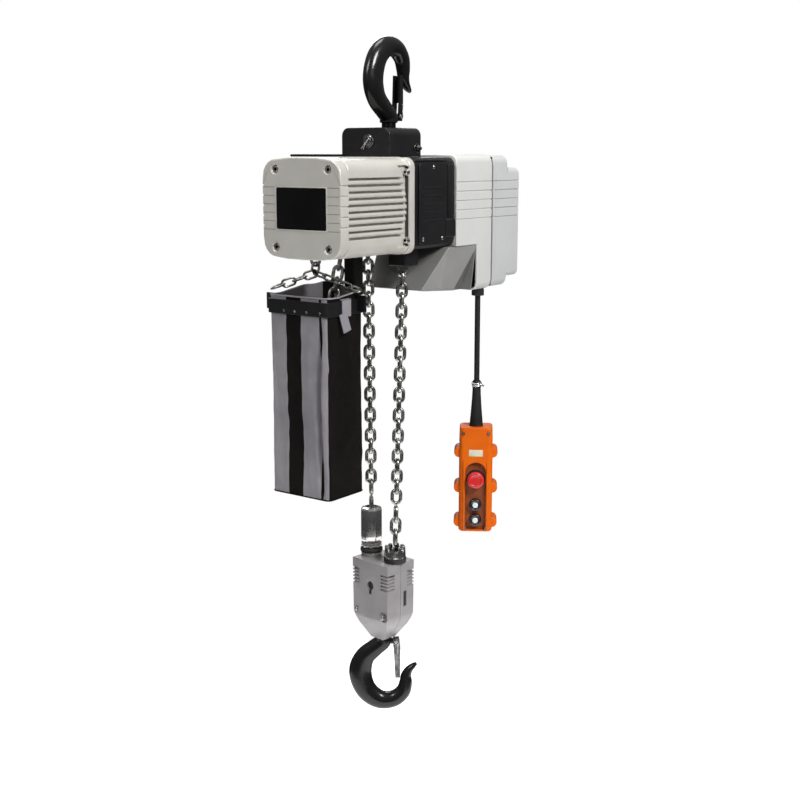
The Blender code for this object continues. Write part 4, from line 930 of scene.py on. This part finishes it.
def castellated(shape, place, low, high):
    """A collar with eight merlons round its top edge."""
    def at(radius, height, drop, i, angle):
        if drop is None:
            return radius, height
        notch = 0.0 if (i // 4) % 2 else 0.0085
        return radius, height - drop - notch

    turned(shape, ((0.0140, low, None), (0.0212, low, None), (0.0216, low + 0.004, None),
                   (0.0208, high, 0.0010), (0.0196, high, 0.0), (0.0140, high, 0.0),
                   (0.0140, high, 0.0010)), place, 64, at, closed=True)


def wavy_ring(shape, place, low, high):
    """A spring cage of lobed rings between the buffer and the sleeve."""
    def at(share, height, i, angle):
        lobe = 0.0013 * math.cos(8 * angle) if share > 0.75 else 0
        return share * (0.0196 + lobe), height

    middle = (low + high) / 2
    turned(shape, ((0.78, low), (1.0, low + 0.002), (1.04, middle - 0.002), (0.93, middle),
                   (1.02, middle + 0.002), (0.96, high - 0.001), (0.72, high), (0.66, high),
                   (0.66, low)), place, 96, at, closed=True)


def fluted_sleeve(shape, place):
    """The sleeve of the limit stop: eight flats with raised ribs between them."""
    def at(share, height, i, angle):
        within = (angle + math.pi / 8) % (math.pi / 4) - math.pi / 8
        return share * min(0.0212 / math.cos(within), 0.0227), height

    turned(shape, ((0.66, 0.0295), (0.86, 0.0310), (0.94, 0.0345), (0.98, 0.0400), (1.0, 0.0430),
                   (1.0, 0.0930), (0.97, 0.0975), (0.88, 0.1005), (0.62, 0.1022), (0.58, 0.0980)),
           place, 96, at)


# ---------------- chain bag

BAG_CENTRE = Vector((-0.074, -0.133, 0))
BAG_HALF_X, BAG_HALF_Y = 0.0724, 0.0534
BAG_FLOOR, BAG_FRAME_LOW, BAG_FRAME_HIGH = -0.829, -0.477, -0.450
BAG_ROWS = 78                                    # rows of faces from the floor to the rim
CLOTH_THICKNESS = 0.0022
WALL_NORMAL = {"front": -ALONG_Y, "rear": ALONG_Y, "right": ALONG_X, "left": -ALONG_X}
# right edges of the front's stripes, from the left edge: grey, black, grey, black as painted shade in the
# fold's crease, grey
FRONT_STRIPES = [(-0.028, 0), (0.009, 1), (0.051, 0), (0.0565, 1), (0.0700, 0)]


def bag_outline(half_x, half_y, radius, step=0.0026):
    """Points round a rounded rectangle, counter-clockwise from the front wall's right end."""
    corners = [(half_x - radius, -half_y + radius, -90), (half_x - radius, half_y - radius, 0),
               (-half_x + radius, half_y - radius, 90), (-half_x + radius, -half_y + radius, 180)]
    walls = [2 * (half_y - radius), 2 * (half_x - radius)] * 2
    points = []
    for (x, y, start), wall in zip(corners, walls):
        for i in range(4):
            angle = math.radians(start + 90 * i / 4)
            points.append(Vector((x + radius * math.cos(angle), y + radius * math.sin(angle), 0)))
        run = math.radians(start + 90 + 90)
        count = round(wall / step)
        end = Vector((x + radius * math.cos(math.radians(start + 90)),
                      y + radius * math.sin(math.radians(start + 90)), 0))
        for i in range(count):
            along = wall * i / count
            points.append(end + Vector((math.cos(run), math.sin(run), 0)) * along)
    return points


def bell(value, middle, width):
    return math.exp(-((value - middle) / width) ** 2)


def cloth_fold(x, y, height, face):
    """How far the cloth stands out at a place on a wall: long soft folds and small puckers."""
    seed = {"front": 0.0, "right": 7.0, "rear": 13.0, "left": 19.0}[face]
    across = x if face in ("front", "rear") else y
    wave = noise.noise(Vector((across * 26 + seed, height * 5.0, seed)))
    pucker = noise.noise(Vector((across * 60, height * 34 + seed, 3.1)))
    loose = clamp((BAG_FRAME_LOW - height) / 0.05) * clamp((height - BAG_FLOOR) / 0.03)
    stand = loose * (0.0062 * wave + 0.0030 * pucker)
    if face == "front":
        wander = across + 0.004 * math.sin(height * 17)
        stand += loose * (-0.0075 * bell(wander, 0.0535, 0.0042) + 0.0030 * bell(wander, 0.0640, 0.0050)
                          + 0.0026 * bell(across, 0.030, 0.018))
    return stand


def wall_of(point):
    if abs(point.x) / BAG_HALF_X > abs(point.y) / BAG_HALF_Y:
        return "right" if point.x > 0 else "left"
    return "rear" if point.y > 0 else "front"


def rim_height(point):
    """The hem: low at the front, rising to a peak in the middle of the rear wall."""
    rear = clamp((point.y + 0.02) / (BAG_HALF_Y + 0.02))
    return BAG_FRAME_HIGH + 0.007 + rear * (0.010 + 0.010 * bell(point.x, -0.012, 0.030))


def bag_grid(shape, outline, inset):
    """Rows of points up the outer wall, or up the inner wall when it is set in."""
    floor = BAG_FLOOR + (0.003 if inset else 0.0)
    grid = []
    for row in range(BAG_ROWS + 1):
        share = row / BAG_ROWS
        narrow = 1.0 - 0.010 * math.sin(math.pi * min(1.0, share * 1.05))
        ring = []
        for point in outline:
            face = wall_of(point)
            height = floor + (rim_height(point) - floor) * share
            outward = Vector((point.x / BAG_HALF_X, point.y / BAG_HALF_Y, 0))
            edge = abs(abs(outward.x) - abs(outward.y))
            stand = cloth_fold(point.x, point.y, height, face) - inset
            if not inset:
                stand *= min(1.0, 0.25 + edge * 3)
            normal = outward.normalized() if inset and edge < 0.2 else WALL_NORMAL[face]
            place = Vector((point.x * narrow, point.y * narrow, 0)) + normal * stand + BAG_CENTRE
            place.z = height
            ring.append(shape.verts.new(place))
        grid.append(ring)
    return grid


def make_bag():
    outline = bag_outline(BAG_HALF_X, BAG_HALF_Y, 0.010)
    shape = bmesh.new()
    outer = bag_grid(shape, outline, 0.0)
    inner = bag_grid(shape, outline, CLOTH_THICKNESS)
    count = len(outline)
    for row in range(BAG_ROWS):
        for i in range(count):
            j = (i + 1) % count
            face = shape.faces.new((outer[row][i], outer[row][j], outer[row + 1][j], outer[row + 1][i]))
            middle = (outline[i] + outline[j]) / 2
            face.material_index = stripe_of(middle, wall_of(middle))
            face = shape.faces.new((inner[row][j], inner[row][i], inner[row + 1][i],
                                    inner[row + 1][j]))
            # the inner faces along the rear wall's middle fold get the black cloth as painted shade
            fold = middle.y > 0 and abs(middle.x + 0.012) < 0.0135
            face.material_index = 1 if fold else 0
    for i in range(count):
        j = (i + 1) % count
        shape.faces.new((outer[-1][i], outer[-1][j], inner[-1][j], inner[-1][i]))
    shape.faces.new(outer[0][::-1])
    shape.faces.new(inner[0])
    bmesh.ops.recalc_face_normals(shape, faces=shape.faces)
    mesh = bpy.data.meshes.new("bag_cloth")
    shape.to_mesh(mesh)
    shape.free()
    mesh.shade_smooth()
    mesh.set_sharp_from_angle(angle=math.radians(55))
    mesh.materials.append(LOOKS["bag_fabric"])
    mesh.materials.append(BLACK_CLOTH_AND_FOLD_SHADE)
    place_piece("bag_cloth", mesh, "bag_fabric", "bag", ("chain_bag",))
    bag_seams(outline)
    bag_frame()
    bag_hanger()


def stripe_of(point, face):
    """0 for grey cloth and 1 for black, at a place on the bag's outline. The narrow black band in the
    front's fold is painted shade.
    """
    if face in ("right", "left"):
        return 1
    across = point.x if face == "front" else -point.x
    for edge, colour in FRONT_STRIPES:
        if across < edge:
            return colour
    return 1


def bag_seams(outline):
    """Piping round the floor and a hem round the rim."""
    shape = bmesh.new()
    points = [BAG_CENTRE + Vector((p.x * 0.998, p.y * 0.998, BAG_FLOOR + 0.0015)) for p in outline]
    tube(shape, points, 0.0014, 8, closed=True)
    piece("bag_floor_piping", shape, "bag_fabric", "bag", material=BLACK_CLOTH_AND_FOLD_SHADE)
    shape = bmesh.new()
    points = [BAG_CENTRE + Vector((p.x, p.y, rim_height(p))) for p in outline]
    tube(shape, points, 0.0016, 8, closed=True)
    piece("bag_hem", shape, "bag_fabric", "bag")


def bag_frame():
    refine("bag_frame", 0.0008, 2)
    shape = bmesh.new()
    front = BAG_CENTRE.y - 0.057
    for x in (-0.032, -0.005, 0.024, 0.056):
        place = moved((BAG_CENTRE.x + x, front, -0.4705)) @ facing_front
        lathe(shape, rounded([(0.0, 0.0), (0.0030, 0.0), (0.0024, 0.0012), (0.0, 0.0016)], 0.0003),
              place, 20)
    piece("bag_rivets", shape, "zinc_steel", "bag", material=LOOKS["latch_steel"])

    shape = bmesh.new()
    right = BAG_CENTRE.x + 0.076
    loop = moved((right + 0.0014, BAG_CENTRE.y - 0.004, -0.4630))
    slab(shape, loop, (0.0022, 0.026, 0.0330), 0.0006)
    slab(shape, moved((right - 0.0030, BAG_CENTRE.y - 0.004, -0.4475)),
         (0.0110, 0.026, 0.0022), 0.0006)
    tail = moved((right + 0.0030, BAG_CENTRE.y - 0.010, -0.4900)) \
        @ rotation(14, "X") @ rotation(-6, "Y")
    slab(shape, tail, (0.0020, 0.022, 0.036), 0.0006)
    piece("bag_webbing", shape, "bag_fabric", "bag")


def bag_hanger():
    ring_r, wire = 0.0100, 0.0025
    apex = BAG_PIVOT + Vector((0, 0, wire + 0.0003 - 2 * ring_r))
    shape = bmesh.new()
    centre = BAG_PIVOT + Vector((0, 0, wire + 0.0003 - ring_r))
    tube(shape, ring_points(centre, ALONG_Y, UP, ring_r, 24), wire, 10, closed=True)
    for side, pitch, turn, width in ((-1, 0.026, 70.0, 0.0185), (1, 0.019, 20.0, 0.0155)):
        ear = BAG_CENTRE + Vector((side * 0.087, side * 0.032, -0.435))
        outward = (ear - apex).normalized()
        add_chain(shape, apex - outward * 0.0058, ear, 0.0048, pitch, 0.0045, width, turn)
    piece("bag_hanger_links", shape, "chain_steel", "bag", ("bag_hanger",), angle=60.0)

    shape = bmesh.new()
    eye_r, eye_wire = 0.0100, 0.0030
    centre = BAG_PIVOT + Vector((0, 0, eye_r - eye_wire - 0.0003))
    tube(shape, ring_points(centre, ALONG_X, UP, eye_r, 24), eye_wire, 10, closed=True)
    stem = moved((BAG_PIVOT.x, BAG_PIVOT.y, 0))
    disc(shape, stem, 0.0045, -0.3690, -0.3636, count=20)
    piece("bag_eye_bolt", shape, "chain_steel", "hoist", ("bag_eye",), angle=60.0)


# ---------------- pendant

def make_cable():
    top, bottom = -0.4555, -0.6437
    curve = bpy.data.curves.new("cable", "CURVE")
    curve.dimensions = "3D"
    count = 18
    line = curve.splines.new("POLY")
    line.points.add(count - 1)
    for i in range(count):
        line.points[i].co = (CABLE_X, CABLE_Y, top + (bottom - top) * i / (count - 1), 1)
    curve.bevel_depth = CABLE_DIAMETER / 2
    curve.bevel_resolution = 6
    curve.use_fill_caps = True
    curve.materials.append(LOOKS["black_rubber"])
    cable = add_object("cable", curve)
    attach(cable, "pendant")
    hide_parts("pendant_cable")


def make_pendant():
    make_cable()
    axis = moved((CABLE_X, CABLE_Y, 0))
    shape = bmesh.new()
    profile = [(0.0074, -0.6440), (0.0094, -0.6475), (0.0094, -0.6560), (0.0084, -0.6620)]
    for i in range(16):
        share = i / 15
        radius = 0.0086 + 0.0052 * share ** 1.3
        level = -0.6640 - 0.072 * share
        profile += [(radius + 0.0003, level), (radius, level - 0.0022)]
    profile += [(0.0144, -0.7400), (0.0144, -0.7485)]
    lathe(shape, profile, axis, 48)
    piece("cable_boot_sleeve", shape, "black_rubber", "pendant", ("cable_boot",))

    shape = bmesh.new()
    tilted = ALONG_Y + UP * (0.0006 / 0.0102)
    for level in (-0.6490, -0.6520, -0.6548):
        loop = ring_points(Vector((CABLE_X, CABLE_Y, level)), ALONG_X, tilted, 0.0102, 32)
        tube(shape, loop, 0.0009, 8, closed=True)
    twist = [Vector((CABLE_X + 0.0100 + 0.0012 * i, CABLE_Y - 0.003 + 0.0016 * math.sin(i * 1.4),
                     -0.6515 + 0.0014 * math.cos(i * 1.4) - 0.0002 * i)) for i in range(10)]
    tube(shape, twist, 0.0009, 8)
    tube(shape, [point + Vector((0, 0.0006, -0.0016 - 0.0001 * i)) for i, point in enumerate(twist[:8])],
         0.0009, 8)
    piece("boot_wire", shape, "zinc_steel", "pendant")
    refine("cable_gland", 0.0012, 3)

    refine("pendant_shell", 0.0016, 3)
    refine("pendant_panel", 0.0003)
    front = pendant_place @ facing_front
    shape = bmesh.new()
    for x, z in ((-0.026, -0.0118), (0.026, -0.0118), (-0.022, -0.216), (0.022, -0.216)):
        place = front @ moved((x, z, 0.0292))
        lathe(shape, rounded([(0.0, 0.0), (0.0034, 0.0), (0.0034, 0.0010), (0.0014, 0.0012),
                              (0.0010, 0.0004), (0.0, 0.0004)], 0.0003), place, 24)
    piece("pendant_screws", shape, "zinc_steel", "pendant", material=LOOKS["latch_steel"])
    shape = bmesh.new()
    slab(shape, front @ moved((0, -0.0535, 0.0293)), (0.029, 0.014, 0.0012), 0.0005)
    piece("pendant_label", shape, "panel_plastic", "pendant", material=LABEL)
    shape = bmesh.new()
    for x in (-0.0245, 0.0245):
        slab(shape, front @ moved((x, -0.146, 0.0292)), (0.0036, 0.150, 0.0030),
             0.0013, 3)
    piece("pendant_ribs", shape, "orange_plastic", "pendant")
    make_buttons(front)


def make_buttons(front):
    for node, z in (("up_button", -0.166), ("down_button", -0.199)):
        place = front @ moved((0, z, 0))
        lathed_piece(node + "_cap", [(0.0, 0.0140), (0.0145, 0.0140), (0.0145, 0.0164), (0.0122, 0.0168),
                                     (0.0122, 0.0270), (0.0128, 0.0280), (0.0128, 0.0300),
                                     (0.0092, 0.0312), (0.0080, 0.0300), (0.0, 0.0300)],
                     0.0007, place, 48, "button_black", node, (node,))
        lathed_piece(node + "_disc", [(0.0, 0.0296), (0.0060, 0.0296), (0.0058, 0.0306),
                                      (0.0036, 0.0312), (0.0, 0.0314)],
                     0.0004, place, 40, "button_black", node, material=WHITE_CAP)
    place = front @ moved((0, -0.110, 0))
    lathed_piece("stop_mushroom", [(0.0, 0.0140), (0.0110, 0.0140), (0.0110, 0.0164), (0.0080, 0.0170),
                                   (0.0080, 0.0290), (0.0160, 0.0298), (0.0176, 0.0330),
                                   (0.0178, 0.0365), (0.0168, 0.0395), (0.0150, 0.0410),
                                   (0.0122, 0.0414), (0.0108, 0.0400), (0.0, 0.0404)],
                 0.0008, place, 56, "stop_red", "estop_button", ("estop_button",))
    lathed_piece("stop_collar", [(0.0132, 0.0172), (0.0195, 0.0172), (0.0195, 0.0225), (0.0150, 0.0236),
                                 (0.0132, 0.0225)],
                 0.0006, place, 48, "button_black", "pendant", closed=True)


# ---------------- the rest

def dress_inner_parts():
    """Parts that keep their CAD shape get their slot's material."""
    for node, made in frame["nodes"].items():
        for place in made.material_slots:
            place.link = "OBJECT"
            place.material = LOOKS[SLOT_OF[node]]


dress_inner_parts()
make_hooks()
make_chains()
make_suspension()
make_motor()
make_lifting_body()
make_control_end()
make_block()
make_bag()
make_pendant()
